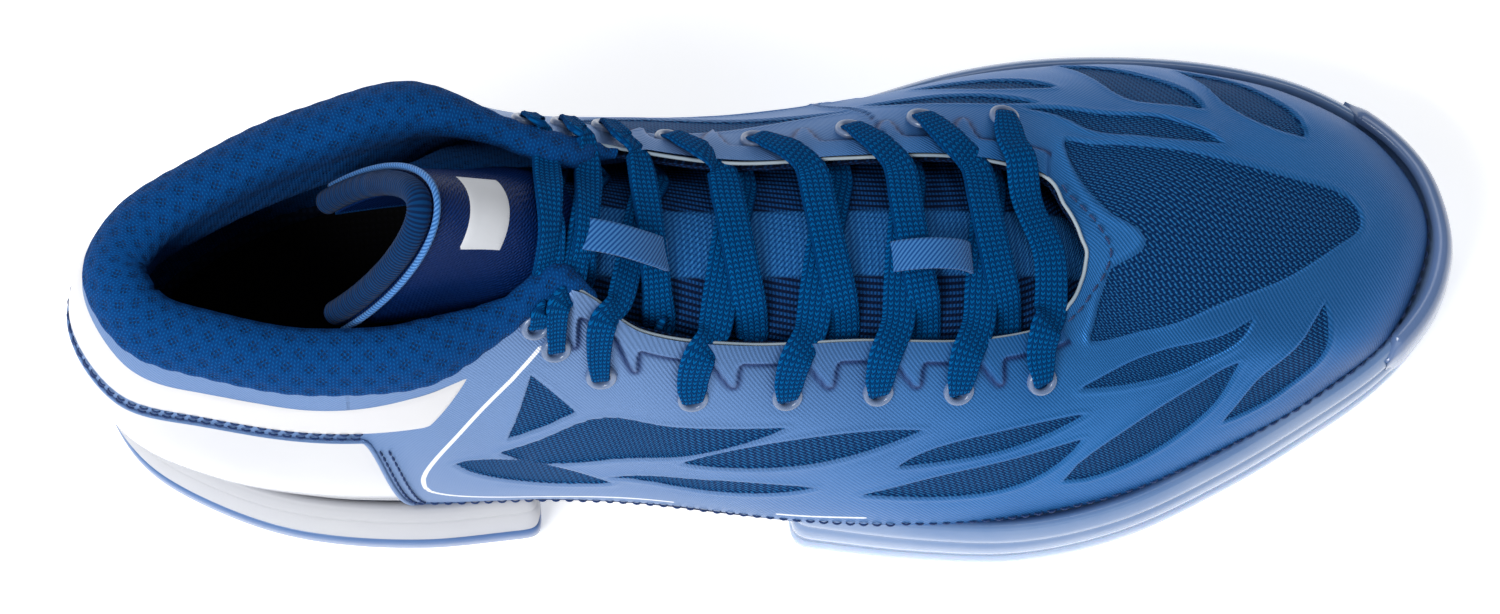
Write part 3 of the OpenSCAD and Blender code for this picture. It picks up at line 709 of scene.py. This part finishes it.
# the film's cut edges: the greyish one round the throat, and the folded one that runs over the heel counter
k = np.arange(5.55, 24.2, 0.02)
throat = skin(k, 1.0, -0.3)
make("throat_cut_edge", *tube(throat, 0.42, 8, up=outward(k, 1.0)), PALE_EDGE, "film")
k = np.arange(-4.25, 4.26, 0.015)
hem = skin(k, film_edge(k) + 0.003, -0.15)
count = len(k) * 8
# the hem takes the full painted reflection
hem_edge = make(
    "film_hem", *tube(hem, 0.55, 8, up=outward(k, film_edge(k))), FILM, "film",
    values={"window": [9] * count, "line": [9] * count, "painted_reflection": [1] * count},
)
hem_edge.data.uv_layers.new(name="weave")

seams = []
for off in (0.035, 0.072):
    k = np.arange(-3.46, 3.461, 0.02)
    t = np.clip(film_edge(k), 0, 1) + off * (0.55 if off < 0.05 else 0.62)
    seams.append((skin(k, t, -0.28), outward(k, t)))
drop = np.linspace(3.42, 3.84, 200)
drop_t = film_edge(drop)
for sign in (1, -1):
    for off in (0.06, 0.14):
        t = np.linspace(0.60, 0.06, 30)
        p = np.column_stack([np.interp(t, drop_t[::-1], drop[::-1]) + off, t])
        s = np.mod(sign * p[:, 0], RIB_N)
        seams.append((skin(s, p[:, 1], -0.22), outward(s, p[:, 1])))
    k = np.arange(3.8, 8.6, 0.03)
    s = np.mod(sign * k, RIB_N)
    seams.append((skin(s, 0.055, -0.2), outward(s, 0.055)))
k = np.arange(8.6, 20.5, 0.02)
seams.append((skin(k, 0.075, -0.18), outward(k, 0.075)))
k = np.arange(11.6, 18.6, 0.02)
seams.append((skin(k, 0.962, -0.5), outward(k, 0.962)))
stitching = make("stitching", *stitches(seams), THREAD, "knit")
stitching.data.uv_layers.new(name="weave")

# one broad white band round the heel, with slanted ends
rows, cols = 14, 420
v = np.linspace(0, 1, rows)[:, None]
reach = lerp(4.05, 4.55, v)
s = reach * np.linspace(-1, 1, cols)[None, :]
r = np.abs(s)
t_lo = lerp(0.60, 0.70, ease(r / 2.4))
t_hi = 0.90 - 0.055 * ease(r / 1.8) + 0.045 * ease((r - 2.6) / 2)
t = lerp(t_lo, t_hi, v)
ends = 1 - np.abs(np.linspace(-1, 1, cols)[None, :])
lift = 0.42 * np.minimum(1, np.minimum(v, 1 - v) * 9) ** 0.5 * np.minimum(1, ends * 60) ** 0.5
band = grid("heel_band_print", skin(s, t, -(lift - 0.12)), WHITE_PRINT, "white_print")
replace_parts(band, "heel_band")

# the glossy counter, swelling a little over the heel
rows, cols = 60, 360
k = np.linspace(-3.95, 3.95, cols)[None, :]
r = np.abs(k)
top = lerp(0.56, 0.69, ease(r / 2.4)) * (1 - ease((r - 3.55) / 0.4)) ** 0.7
v = np.linspace(0, 1, rows)[:, None]
t = v * np.maximum(top, 0.02)
swell = 0.5 + 1.3 * np.sin(math.pi * np.clip(v * 1.05, 0, 1)) ** 1.5 * ease((3.6 - r) / 1.5)
swell = swell - 0.35 * bell(t - 0.10, 0.02) - 0.7 * ease((v - 0.93) / 0.07) - 0.5 * ease((r - 3.8) / 0.15)
counter = grid("heel_counter_shell", skin(k, t, -(swell - 0.9)), WHITE_GLOSS, "counter_gloss")
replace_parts(counter, "heel_counter")

# ---- eyelets ----


def ring_parts(places):
    rings, wells = [], []
    profile = [
        (EYELET_HOLE, -1.6), (EYELET_HOLE, -0.1), (1.85, 0.42), (2.15, 0.68),
        (2.7, 0.72), (3.1, 0.5), (3.3, 0.1), (3.35, -0.5),
    ]
    a = np.linspace(0, 2 * math.pi, 41)
    for s0, t0 in places:
        n = outward(s0, t0)
        c = film_point(s0, t0)
        e1 = unit(np.cross(n, [0, 0.3, 1]))
        e2 = np.cross(n, e1)
        circle = np.cos(a)[:, None] * e1 + np.sin(a)[:, None] * e2
        q = np.stack([c + rr * circle + (z + 0.25) * n for rr, z in profile])
        rings.append((q, grid_faces(*q.shape[:2])))
        w = np.stack([c + rr * circle - z * n for rr, z in ((2.1, 1.05), (1.0, 1.2), (0.01, 1.2))])
        wells.append((w, grid_faces(*w.shape[:2])))
    return rings, wells


for name, places in (("lateral", LATERAL), ("medial", MEDIAL)):
    rings, wells = ring_parts(places)
    o = make(f"eyelet_rings_{name}", *join_parts(rings), RING, "eyelet", weld=True, flip=True)
    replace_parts(o, f"eyelets_{name}")
    # a near-black cap behind each eyelet hole: painted shade in the hole
    make(f"eyelet_wells_{name}", *join_parts(wells), BLACK_CLOTH_WITH_PAINTED_SHADE, "lining", weld=True)

# ---- collar ----

SECTION = np.array([
    (0.02, -0.30), (-0.15, -0.20), (-0.21, 0.06), (-0.18, 0.36), (-0.07, 0.66), (0.15, 0.90), (0.42, 1.00),
    (0.72, 0.94), (0.95, 0.62), (1.04, 0.18), (1.06, -0.3)
])
s0, s1 = 23.1 - RIB_N, 6.4
cols = 360
k = np.linspace(s0, s1, cols)
edge = film_point(k, 1.0)
n = ease((edge[:, 0] + 80) / 24)
pad, rise = lerp(10.2, 5.2, n), lerp(10.8, 5.2, n)
taper = ease((k - s0) / 0.5) * ease((s1 - k) / 0.6)
pad, rise = pad * lerp(0.45, 1, taper), rise * lerp(0.3, 1, taper)
q = open_at(SECTION, np.linspace(0, len(SECTION) - 1, 46))
out, up = outward(k, np.ones(cols)), upward(k, np.ones(cols))
roll = edge[None] - (q[:, :1] * pad)[..., None] * out[None] + (q[:, 1:2] * rise)[..., None] * up[None]
deep = 60
f = np.linspace(0, 1, deep + 1)[1:, None]
t_in = lerp(0.945, 0.03, f) * np.ones((1, cols))
swell = (1 - n[None]) * 3.4 * bell(f - 0.2, 0.16)
wall = skin(k[None] * np.ones((deep, 1)), t_in, lerp(pad[None] * 1.06 + swell, 4.6, ease((f - 0.18) * 1.5)))
knit = np.concatenate([roll, wall])
for _ in range(6):
    knit[1:-1] = 0.5 * knit[1:-1] + 0.25 * (knit[:-2] + knit[2:])
run_u, run_v = arc(edge[None], 1).repeat(len(knit), 0), arc(knit, 0)
face_n = unit(np.cross(np.gradient(knit, axis=1), np.gradient(knit, axis=0)))
row = np.floor(run_v / KNIT_ROW)
x = ((run_u + np.mod(np.abs(row), 2) * KNIT_CELL / 2) / KNIT_CELL) % 1 - 0.5
y = (run_v / KNIT_ROW) % 1 - 0.5
dimple = np.exp(-((x * KNIT_CELL) ** 2 + (y * KNIT_ROW) ** 2) / 1.1)
puff = 0.25 * np.sin(run_u / 7.3) * np.sin(run_v / 6.1 + run_u / 19)
crease = (0.9 * bell(k[None] - 0.75, 0.05) + 0.6 * bell(k[None] - 0.35, 0.04)) * bell(run_v - 24, 6)
sign = np.sign(np.sum(face_n[10, 100] * out[100])) or 1.0
knit = knit + face_n * sign * (puff - 0.35 * dimple - crease)[..., None]
collar = grid("collar_padding", knit, KNIT, "knit", uv=np.stack([run_u, run_v], -1))
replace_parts(collar, "collar_foam", "collar_lining")

# ---- tongue ----

TONGUE = [
    (68, -6, 57.5, 26, 45, -4, -28), (60, -6, 61.5, 30, 48, -5, -32), (50, -5.5, 68, 36, 52, -10, -40),
    (34, -4.5, 74.5, 38, 54, -12, -44), (12, -4, 81.5, 38, 54, -13, -44), (-12, -4, 88.5, 33, 53, -15, -43),
    (-32, -2, 96.5, 26, 57, -18, -38), (-46, 0.5, 106.8, 19.5, 67, -22, -32),
    (-58, 0.6, 118, 15.5, 77, -23, -32), (-66, 0.3, 124.5, 14.7, 83, -23, -34),
    (-73, 0, 130, 14.3, 90, -22, -35),
]
LAST = 10


def tongue(u, a):
    u, a = np.broadcast_arrays(np.asarray(u, float), np.asarray(a, float))
    k = open_at(TONGUE, u.ravel())
    w = np.radians(a.ravel() * k[:, 4])
    drop = 1 - np.cos(w)
    p = np.stack([k[:, 0] + drop * k[:, 5], k[:, 1] + k[:, 3] * np.sin(w), k[:, 2] + drop * k[:, 6]], -1)
    return p.reshape(*u.shape, 3)


def tongue_in(u, a):
    v = np.clip(u, 0, LAST)
    d = tongue(np.minimum(v + 0.02, LAST), a) - tongue(np.maximum(v - 0.02, 0), a)
    return unit(np.cross(d, tongue(v, a + 0.02) - tongue(v, a - 0.02)))


def tongue_skin(u, a, depth):
    u, a = np.broadcast_arrays(np.asarray(u, float), np.asarray(a, float))
    return tongue(u, a) + np.asarray(depth, float)[..., None] * tongue_in(u, a)


rows, cols = 230, 110
u = np.linspace(0, LAST, rows)[:, None] * np.ones((1, cols))
a = np.linspace(-1, 1, cols)[None, :] * np.ones((rows, 1))
place = tongue(u, a)
y = place[..., 1] + 4
centre = 7.2 - np.abs(y - 1.5)
top = (u - 6.9) * 20
pillow = 1.3 * np.clip(1 - a**2, 0, 1) ** 0.5 * np.clip((LAST - u) * 1.5, 0, 1) ** 0.5 * ease((u - 6.8) / 0.6)
raised = 0.35 * ease(centre / 0.6)
ribs = 0.16 * np.sin(arc(place, 1) * 2 * math.pi / 1.35) * ease(-centre) * ease((7 - u) * 3)
outer = tongue_skin(u, a, -(pillow + (raised * ease((7 - u) * 3)) + ribs) * (np.abs(a) < 0.995))
inner = tongue_skin(u, a, 4.6)
whole = np.concatenate([outer, inner[::-1]])
whole = np.concatenate([whole, whole[:1]])
uvs = np.stack([arc(place, 0), arc(place, 1)], -1)
uvs = np.concatenate([uvs, uvs[::-1], uvs[:1]])
values = {key: np.concatenate([g, g[::-1], g[:1]]) for key, g in (("centre", centre), ("top", top))}
padding = grid("tongue_cloth", whole, TONGUE_CLOTH, "twill_blue", body=None, uv=uvs, weld=True, values=values)
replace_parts(padding, "tongue_lower", "tongue_top")
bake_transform(padding)

# side faces of the tongue, then its ribbed binding, the light piping beside it, partly a painted highlight on
# the satin's edge, and the plain patch
for side, sa in (("outer", -1.0), ("inner", 1.0)):
    u = np.linspace(0, LAST, 160)
    p = tongue_skin(u, sa, 2.3)
    o = make(f"tongue_edge_{side}", *tube(p, 2.45, 10), TONGUE_CLOTH, "twill_blue", body=None)
    o.data.uv_layers.new(name="weave")
    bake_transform(o)

a = np.linspace(-1.0, 1.0, 260)
crest = unit(tongue(LAST, a) - tongue(LAST - 0.1, a))
path = tongue_skin(LAST, a, 2.2) + 2.3 * crest
run = arc(path)
radius = 2.6 + 0.06 * np.sin(run * 2 * math.pi / 0.8)
radius = radius * (0.55 + 0.45 * ease((1 - np.abs(a)) / 0.03))
sides = 20
p, f = tube(path, radius, sides, up=crest)
uvb = np.column_stack([run.repeat(sides), np.tile(np.arange(sides) * 0.9, 260)])
binding = make("tongue_binding_roll", p, f, BINDING, "binding", body="tongue_flap", uv=uvb)
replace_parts(binding, "tongue_binding")
# the light piping: partly a painted highlight along the satin edge
path = tongue_skin(LAST - 0.05, a * 0.99, -1.3) + 0.6 * crest
p, f = tube(path, 0.75, 10, up=crest)
uvb = np.column_stack([arc(path).repeat(10), np.tile(np.arange(10) * 0.6, 260)])
make("tongue_piping", p, f, PIPING_WITH_PAINTED_HIGHLIGHT, "binding", body="tongue_flap", uv=uvb)
rows, cols = 24, 30
uu = np.linspace(8.1, 9.1, rows)[:, None] * np.ones((1, cols))
aa = np.linspace(-0.34, 0.30, cols)[None, :] * np.ones((rows, 1))
rim = np.minimum(np.minimum(uu - 8.1, 9.1 - uu) * 6, np.minimum(aa + 0.34, 0.30 - aa) * 14)
bulge = 1.3 * np.clip(1 - aa**2, 0, 1) ** 0.5 * np.clip((LAST - uu) * 1.5, 0, 1) ** 0.5
raised = bulge + 0.30 * np.clip(rim, 0, 1) ** 0.5
patch = grid("tongue_patch", tongue_skin(uu, aa, -raised), PATCH, "patch", body="tongue_flap")
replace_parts(patch, "tongue_badge")

# ---- straps and lace ----


def ribbon(centres, ups, width, thick, ridges=0.0, section=18):
    """A flat braid: a rounded flat section carried along a path, with scalloped edges."""
    count = int(max(24, arc(np.asarray(centres))[-1] * 4))
    knots = np.linspace(0, len(centres) - 1, count)
    p = open_at(centres, knots)
    p = resample(p, int(arc(p)[-1] / 0.45) + 2)
    m = len(p)
    at = np.linspace(0, 1, m)
    ru = np.linspace(0, 1, len(ups))
    up = unit(np.stack([np.interp(at, ru, np.asarray(ups, float)[:, k]) for k in range(3)], -1))
    d = unit(np.gradient(p, axis=0))
    w = unit(np.cross(d, up))
    h = np.cross(w, d)
    wid = np.interp(at, np.linspace(0, 1, len(width)), width) / 2
    thk = np.interp(at, np.linspace(0, 1, len(thick)), thick) / 2
    rdg = np.interp(at, np.linspace(0, 1, len(np.atleast_1d(ridges))), np.atleast_1d(ridges))
    run = arc(p)
    wid = wid + 0.13 * np.abs(np.sin(run * math.pi / 1.08))
    a = np.linspace(0, 2 * math.pi, section + 1)
    x = np.sign(np.cos(a)) * np.abs(np.cos(a)) ** 0.55
    z = np.sign(np.sin(a)) * np.abs(np.sin(a)) ** 0.75
    fold = np.cos(x * math.pi * 2.6)[None] * rdg[:, None]
    q = p[:, None] + (x[None] * wid[:, None])[..., None] * w[:, None]
    q = q + (z[None] * thk[:, None] + fold)[..., None] * h[:, None]
    v = np.broadcast_to(x[None] * 4.2, (m, section + 1)) + 0.36
    uvr = np.stack([np.broadcast_to(run[:, None], (m, section + 1)), v], -1)
    return q, uvr


def ribbon_piece(name, items, material, slot):
    points, faces, uvs, start = [], [], [], 0
    for q, uvr in items:
        r, c = q.shape[:2]
        points.append(q.reshape(-1, 3))
        faces += (grid_faces(r, c) + start).tolist()
        faces.append([start + j for j in range(c - 1)][::-1])
        faces.append([start + (r - 1) * c + j for j in range(c - 1)])
        uvs.append(uvr.reshape(-1, 2))
        start += r * c
    return make(name, np.vstack(points), faces, material, slot, uv=np.vstack(uvs), weld=True)


RING_TOP = 1.2
LACE_WIDE, LACE_FOLDED = 7.4, 6.0


def at_skin(s, t, lift):
    return skin(s, t, -lift)


def at_tongue(u, a, lift):
    return tongue_skin(u, a, -lift)


def n_tongue(u, a):
    return -tongue_in(u, a)


TONGUE_U, TONGUE_A = np.meshgrid(np.linspace(1.2, 9, 240), np.linspace(-1, 1, 81), indexing="ij")
TONGUE_AT = tongue(TONGUE_U, TONGUE_A)
TONGUE_N = -tongue_in(TONGUE_U, TONGUE_A)


def over_tongue(x, y, lift):
    """The point at a height over the tongue above or below a place in plan, and the tongue's normal there."""
    d = (TONGUE_AT[..., 0] - x) ** 2 + (TONGUE_AT[..., 1] - y) ** 2 + 0.3 * (TONGUE_A * 6) ** 2
    i = np.unravel_index(d.argmin(), d.shape)
    return np.array([x, y, TONGUE_AT[i][2]]) + lift * TONGUE_N[i], TONGUE_N[i]


def strip(eye, own, other, lift, folded, side):
    """From under its eyelet, over its own edge and the crest, and under the other edge."""
    span = 1 - eye[1]
    toward = lerp(eye[0], own, lerp(0.28 if side < 0 else 0.4, 0.22, folded))
    leave, land = at_skin(toward, 1.0, 2.0), at_skin(other, 1.0, 0)
    places = (0.14, 0.30, 0.46, 0.62, 0.78, 0.9)
    heights = (lift + 1.9, lift + 0.9, lift + 0.1, lift - 0.2, lift - 0.7, 0.4)
    over, tongue_ups = zip(*(over_tongue(*lerp(leave, land, k)[:2], h) for k, h in zip(places, heights)))
    over[0][2] = max(over[0][2], lerp(leave, land, places[0])[2] - 1.5)
    path = [
        at_skin(eye[0], eye[1], -0.9), at_skin(eye[0], eye[1] + 0.012, RING_TOP + 0.35),
        at_skin(lerp(eye[0], toward, 0.35), eye[1] + span * 0.38, 1.9),
        at_skin(lerp(eye[0], toward, 0.8), eye[1] + span * 0.80, 2.2), *over,
        at_skin(other, 0.97, -3.9),
    ]
    at_eye = outward(*eye)
    up = [at_eye, at_eye, outward(eye[0], 0.9), outward(eye[0], 0.98), *tongue_ups, outward(other, 0.97)]
    wide = lerp(LACE_WIDE, LACE_FOLDED, folded)
    width = [3.0, lerp(6.2, 3.8, folded), lerp(7.3, 4.6, folded), *[wide] * 6, 7.2, 7.0]
    thick = [1.2, 1.25, lerp(1.35, 1.9, folded), lerp(1.35, 1.9, folded), *[1.35] * 7]
    ridges = [k * folded for k in (0.05, 0.22, 0.22, 0.12, 0, 0, 0)]
    return ribbon(path, up, width, thick, ridges)


lateral_items = []
near, far = LATERAL[0], MEDIAL[0]
bar = [
    at_skin(*near, -0.9), at_skin(near[0], near[1] + 0.012, 1.5),
    at_skin(near[0] + 0.13, 0.9, 1.9), at_skin(near[0] + 0.3, 0.99, 2.8),
    at_tongue(1.80, -0.33, 3.4), at_tongue(1.80, 0, 3.8), at_tongue(2.0, 0.33, 3.4),
    at_skin(far[0] - 0.12, 0.99, 2.8), at_skin(far[0] - 0.05, 0.9, 1.9),
    at_skin(far[0], far[1] + 0.012, 1.5), at_skin(*far, -0.9),
]
ups = [
    outward(*near), outward(*near), outward(near[0], 0.9), outward(near[0], 1.0),
    n_tongue(2.35, -0.3), n_tongue(2.35, 0), n_tongue(2.35, 0.3),
    outward(far[0], 1.0), outward(far[0], 0.9), outward(*far), outward(*far),
]
lateral_items.append(ribbon(bar, ups, [3.0, 6.2, 7.2, *[LACE_WIDE] * 5, 7.2, 6.2, 3.0], [1.35] * 11))
medial_items = []
for i in range(1, 8):
    folded = float(ease((i - 4) / 1.5))
    own, other = LATERAL[i - 1][0], MEDIAL[i - 1][0]
    lateral_items.append(strip(LATERAL[i], own, other + 0.15, 1.6, folded, -1))
    medial_items.append(strip(MEDIAL[i], other, own - 0.15, 3.3, folded, 1))
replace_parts(ribbon_piece("lace_outer_strips", lateral_items, LACE, "lace"), "lace_lateral")
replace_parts(ribbon_piece("lace_inner_strips", medial_items, LACE, "lace"), "lace_medial")


def webbing(name, u0, u1, a, width, rise, node):
    v = np.linspace(0, 1, 60)
    u = lerp(u0, u1, v)
    lift = 0.5 + rise * np.sin(math.pi * v) ** 0.5
    p = tongue_skin(u, a, -lift)
    p = resample(p, 90)
    x = np.concatenate([np.linspace(-1, 1, 12), np.linspace(1, -1, 12), [-1]])
    z = np.concatenate([np.full(12, 0.4), np.full(12, -0.4), [0.4]])
    d = unit(np.gradient(p, axis=0))
    w = np.array([0, 1.0, 0])
    h = unit(np.cross(d, w))
    q = p[:, None] + (x * width / 2)[None, :, None] * w + z[None, :, None] * h[:, None]
    uvw = np.stack(np.broadcast_arrays(arc(p)[:, None], x[None] * width / 2), -1)
    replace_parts(grid(name, q, LOOP, "twill_blue", uv=uvw, weld=True), node)


webbing("lace_loop_lower", 2.84, 3.66, -0.06, 6.6, 6.2, "tongue_loop_lower")
webbing("lace_loop_upper", 5.72, 6.95, -0.11, 7.0, 6.4, "tongue_loop_upper")

# ---- sole ----

SOLE_PLAN = [
    (-151, -3), (-145, -17), (-131, -28), (-111, -37), (-85, -41.5), (-57, -41.5), (-28, -43.5),
    (0, -49.5), (22, -54), (45, -56.5), (68, -53.5), (90, -45.5), (110, -36), (127, -26.5),
    (138.5, -16), (144, -5), (144.8, 6), (141, 19), (131, 31), (115, 41.5), (92, 48.7), (65, 52),
    (42, 51), (18, 46), (-8, 41), (-35, 37.5), (-65, 37), (-95, 37), (-122, 31.5), (-140, 20),
    (-148.5, 8.5),
]


def unit_outline(x_from, x_to, count=300, smooth=10):
    p = closed_at(SOLE_PLAN, np.arange(0, len(SOLE_PLAN), 0.05))
    p = p[(p[:, 0] >= x_from) & (p[:, 0] <= x_to)]
    p = resample(p, count, closed=True)
    for _ in range(smooth):
        p = 0.5 * p + 0.25 * (np.roll(p, 1, 0) + np.roll(p, -1, 0))
    return p


def lofted(name, plan, profile, material, slot, node):
    """Rings of the plan pushed out by an amount, at a height from the ground or from the feather line."""
    v = np.roll(plan, -1, 0) - np.roll(plan, 1, 0)
    out = unit(np.column_stack([v[:, 1], -v[:, 0]]))
    rings = []
    for push, level, dz in profile:
        q = plan + out * push
        g, f = ground_z(plan[:, 0]), feather_z(plan[:, 0])
        z = {"g": g, "f": f}.get(level)
        z = lerp(g, f, level) if z is None else z
        rings.append(np.column_stack([q, z + dz]))
    rings = np.stack(rings)
    n = len(plan)
    faces = []
    for i in range(len(rings) - 1):
        for j in range(n):
            faces.append([i * n + j, i * n + (j + 1) % n, (i + 1) * n + (j + 1) % n, (i + 1) * n + j])
    # both ends are closed by bars across the unit, from its rearmost point on
    lowest = int(np.argsort(plan[:, 0])[0])
    order = [(lowest + j) % n for j in range(n)]
    for ring, turn in ((0, True), (len(rings) - 1, False)):
        for j in range(n // 2):
            corners = [order[j], order[(j + 1) % n], order[(n - j - 1) % n], order[(n - j) % n]]
            quad = [ring * n + k for k in dict.fromkeys(corners)]
            if len(quad) > 2:
                faces.append(quad[::-1] if turn else quad)
    run = np.concatenate([arc(plan)[:, None].T] * len(rings))
    uvl = np.stack([run, arc(rings, 0)], -1)
    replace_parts(make(name, rings.reshape(-1, 3), faces, material, slot, uv=uvl), node)


heel_plan = unit_outline(-160, -57.5)
fore_plan = unit_outline(-4.5, 160, 420)
tread_rim = [(-4.5, "g", 1.3), (-2.2, "g", 1.15), (-1.4, "g", 0.4), (-0.9, "g", 0.45), (-0.25, "g", 1.3)]
lofted("heel_tread_band", heel_plan, [
    *tread_rim, (0.15, "g", 3), (0.3, "g", 6.0), (0.1, "g", 7.6),
    (-0.4, "g", 8.2), (-1.2, "g", 8.3), (-3.0, "g", 8.2)
], HEEL_RUBBER, "outsole_rubber", "outsole_heel")
lofted("heel_midsole", heel_plan, [
    (-2.4, "g", 8.1), (-1.1, "g", 8.15), (-0.5, "g", 8.8), (-0.1, "g", 10.2), (0.35, 0.45, 2),
    (0.3, 0.62, 2), (0.0, 0.76, 1.5), (-0.3, 0.80, 1.2), (-0.95, 0.82, 1.1), (-0.3, 0.84, 1.0),
    (0.0, 0.87, 0.6), (-0.35, "f", -1.6), (-0.9, "f", -0.2), (-1.5, "f", 0.6), (-2.2, "f", 0.8),
    (-3.2, "f", 0.3), (-4.2, "f", -1.2), (-6, "f", -2.5)
], WHITE_FOAM, "foam_white", "midsole_heel")
lofted("forefoot_tread_layer", fore_plan, [
    *tread_rim, (0.2, "g", 3), (0.45, "g", 5.5), (0.3, "g", 7.0),
    (-0.2, "g", 7.8), (-1.2, "g", 8.1), (-3.0, "g", 8.0)
], PALE_RUBBER, "outsole_rubber", "outsole_forefoot")
lofted("forefoot_sidewall", fore_plan, [
    (-2.6, "g", 7.9), (-0.9, "g", 7.95), (-0.35, "g", 8.3), (0.1, "g", 9.2), (0.35, 0.5, 1.5),
    (0.2, 0.62, 1.5), (-0.25, 0.70, 1.2), (-0.75, 0.73, 1.1), (-0.4, 0.77, 1.0), (-0.1, 0.84, 0.6),
    (-0.35, "f", -1.4), (-0.9, "f", 0.2), (-1.5, "f", 1.4), (-2.1, "f", 2.1), (-2.8, "f", 2.3),
    (-3.6, "f", 1.8), (-4.6, "f", 0.2), (-6, "f", -2.4)
], SIDE_RUBBER, "sidewall_rubber", "sidewall_forefoot")

# the toe guard: a darker cap over the front of the sidewall, between two notches
plan = closed_at(SOLE_PLAN, np.linspace(13.1, 18.35, 150))
v = np.gradient(plan, axis=0)
out = unit(np.column_stack([v[:, 1], -v[:, 0]]))
end = ease(np.minimum(np.arange(150), np.arange(150)[::-1]) / 9)
rings = []
for push, b, dz in [(0.0, 0.30, 1), (0.55, 0.40, 1), (0.95, 0.6, 1), (0.85, 0.8, 1), (0.5, 1, 0.2),
                    (0.0, 1, 2.2), (-0.9, 1, 3.6), (-2.0, 1, 4.2), (-3.1, 1, 4.0), (-3.9, 1, 3.0)]:
    q = plan + out * (push * lerp(0.2, 1, end) - 0.25 * (1 - end))[:, None]
    z = lerp(ground_z(plan[:, 0]), feather_z(plan[:, 0]), b) + dz * end
    rings.append(np.column_stack([q, z]))
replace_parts(grid("toe_guard_cap", np.stack(rings), GUARD_RUBBER, "guard_rubber"), "toe_guard")


def tread(name, plan, material, slot):
    """Herringbone bars under a sole unit."""
    v = np.roll(plan, -1, 0) - np.roll(plan, 1, 0)
    out = unit(np.column_stack([v[:, 1], -v[:, 0]]))
    rim = plan - out * 3.4
    parts = []
    for x0 in np.arange(rim[:, 0].min() + 1, rim[:, 0].max(), 4.2):
        y = np.arange(-56, 56, 2.0)
        zig = 2.4 * (np.abs((y / 8) % 2 - 1) - 0.5)
        x = x0 + zig
        ok = inside(x, y, rim)
        for group in np.split(np.arange(len(y)), np.nonzero(~ok)[0]):
            group = group[ok[group]]
            if len(group) < 3:
                continue
            p = np.column_stack([x[group], y[group], ground_z(x[group]) + 1.2])
            w = np.array([0.95, 0, 0])
            n = len(group)
            q = np.concatenate([p - w, p - 0.7 * w - [0, 0, 1.18], p + 0.7 * w - [0, 0, 1.18], p + w])
            faces = grid_faces(4, n).tolist()
            faces += [[0, n, 2 * n, 3 * n], [n - 1, 4 * n - 1, 3 * n - 1, 2 * n - 1]]
            parts.append((q, faces))
    make(name, *join_parts(parts), material, slot, flat=True)


tread("heel_tread_bars", heel_plan, HEEL_RUBBER, "outsole_rubber")
tread("forefoot_tread_bars", fore_plan, PALE_RUBBER, "outsole_rubber")

# ---- CAD nodes that stay as they are ----

for node, material in {
    "midsole_forefoot": WHITE_FOAM, "shank_plate": PLATE, "insole_board": BOARD_WITH_PAINTED_SHADE, "sockliner": BLACK_CLOTH_WITH_PAINTED_SHADE,
    "heel_stiffener": STIFF, "toe_puff": STIFF, "mesh_liner": LINER_WITH_PAINTED_SHADE,
}.items():
    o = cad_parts[node]
    for slot in o.material_slots:
        slot.material = material

# ---- floor and light ----

bpy.ops.mesh.primitive_plane_add(size=12, location=(0, 0, 0))
floor = bpy.context.object
floor.name = "floor"
ground = Shade("floor_paint", Roughness=0.9, Specular_IOR_Level=0.1)
paint = ground.mix(ground.noise(3, 2), (0.93, 0.93, 0.935), (0.96, 0.96, 0.96))
ground.set(Base_Color=paint, Emission_Color=(1, 1, 1), Emission_Strength=0.5)
floor.data.materials.append(ground.m)


def softbox(name, place, size, power, colour=(1, 1, 1), aim=(0, 0, 0.06)):
    light = bpy.data.lights.new(name, "AREA")
    light.shape = "RECTANGLE"
    light.size, light.size_y = size
    light.energy, light.color = power, colour
    o = bpy.data.objects.new(name, light)
    o.location = place
    o.rotation_mode = "QUATERNION"
    o.rotation_quaternion = (Vector(place) - Vector(aim)).to_track_quat("Z", "Y")
    bpy.context.collection.objects.link(o)


softbox("near_low", (-0.2, -1.6, 0.6), (2.2, 0.6), 4)
softbox("key", (-0.75, -0.75, 1.3), (0.8, 0.6), 21)
softbox("top_far", (0.1, 0.7, 1.6), (1.2, 0.8), 6)
softbox("heel_side", (-1.5, 0.3, 0.9), (0.7, 0.9), 3)
world = bpy.data.worlds.new("studio")
world.use_nodes = True
world.node_tree.nodes["Background"].inputs[0].default_value = (0.95, 0.97, 1, 1)
world.node_tree.nodes["Background"].inputs[1].default_value = 0.3
bpy.context.scene.world = world
bpy.context.scene.view_settings.view_transform = "Standard"
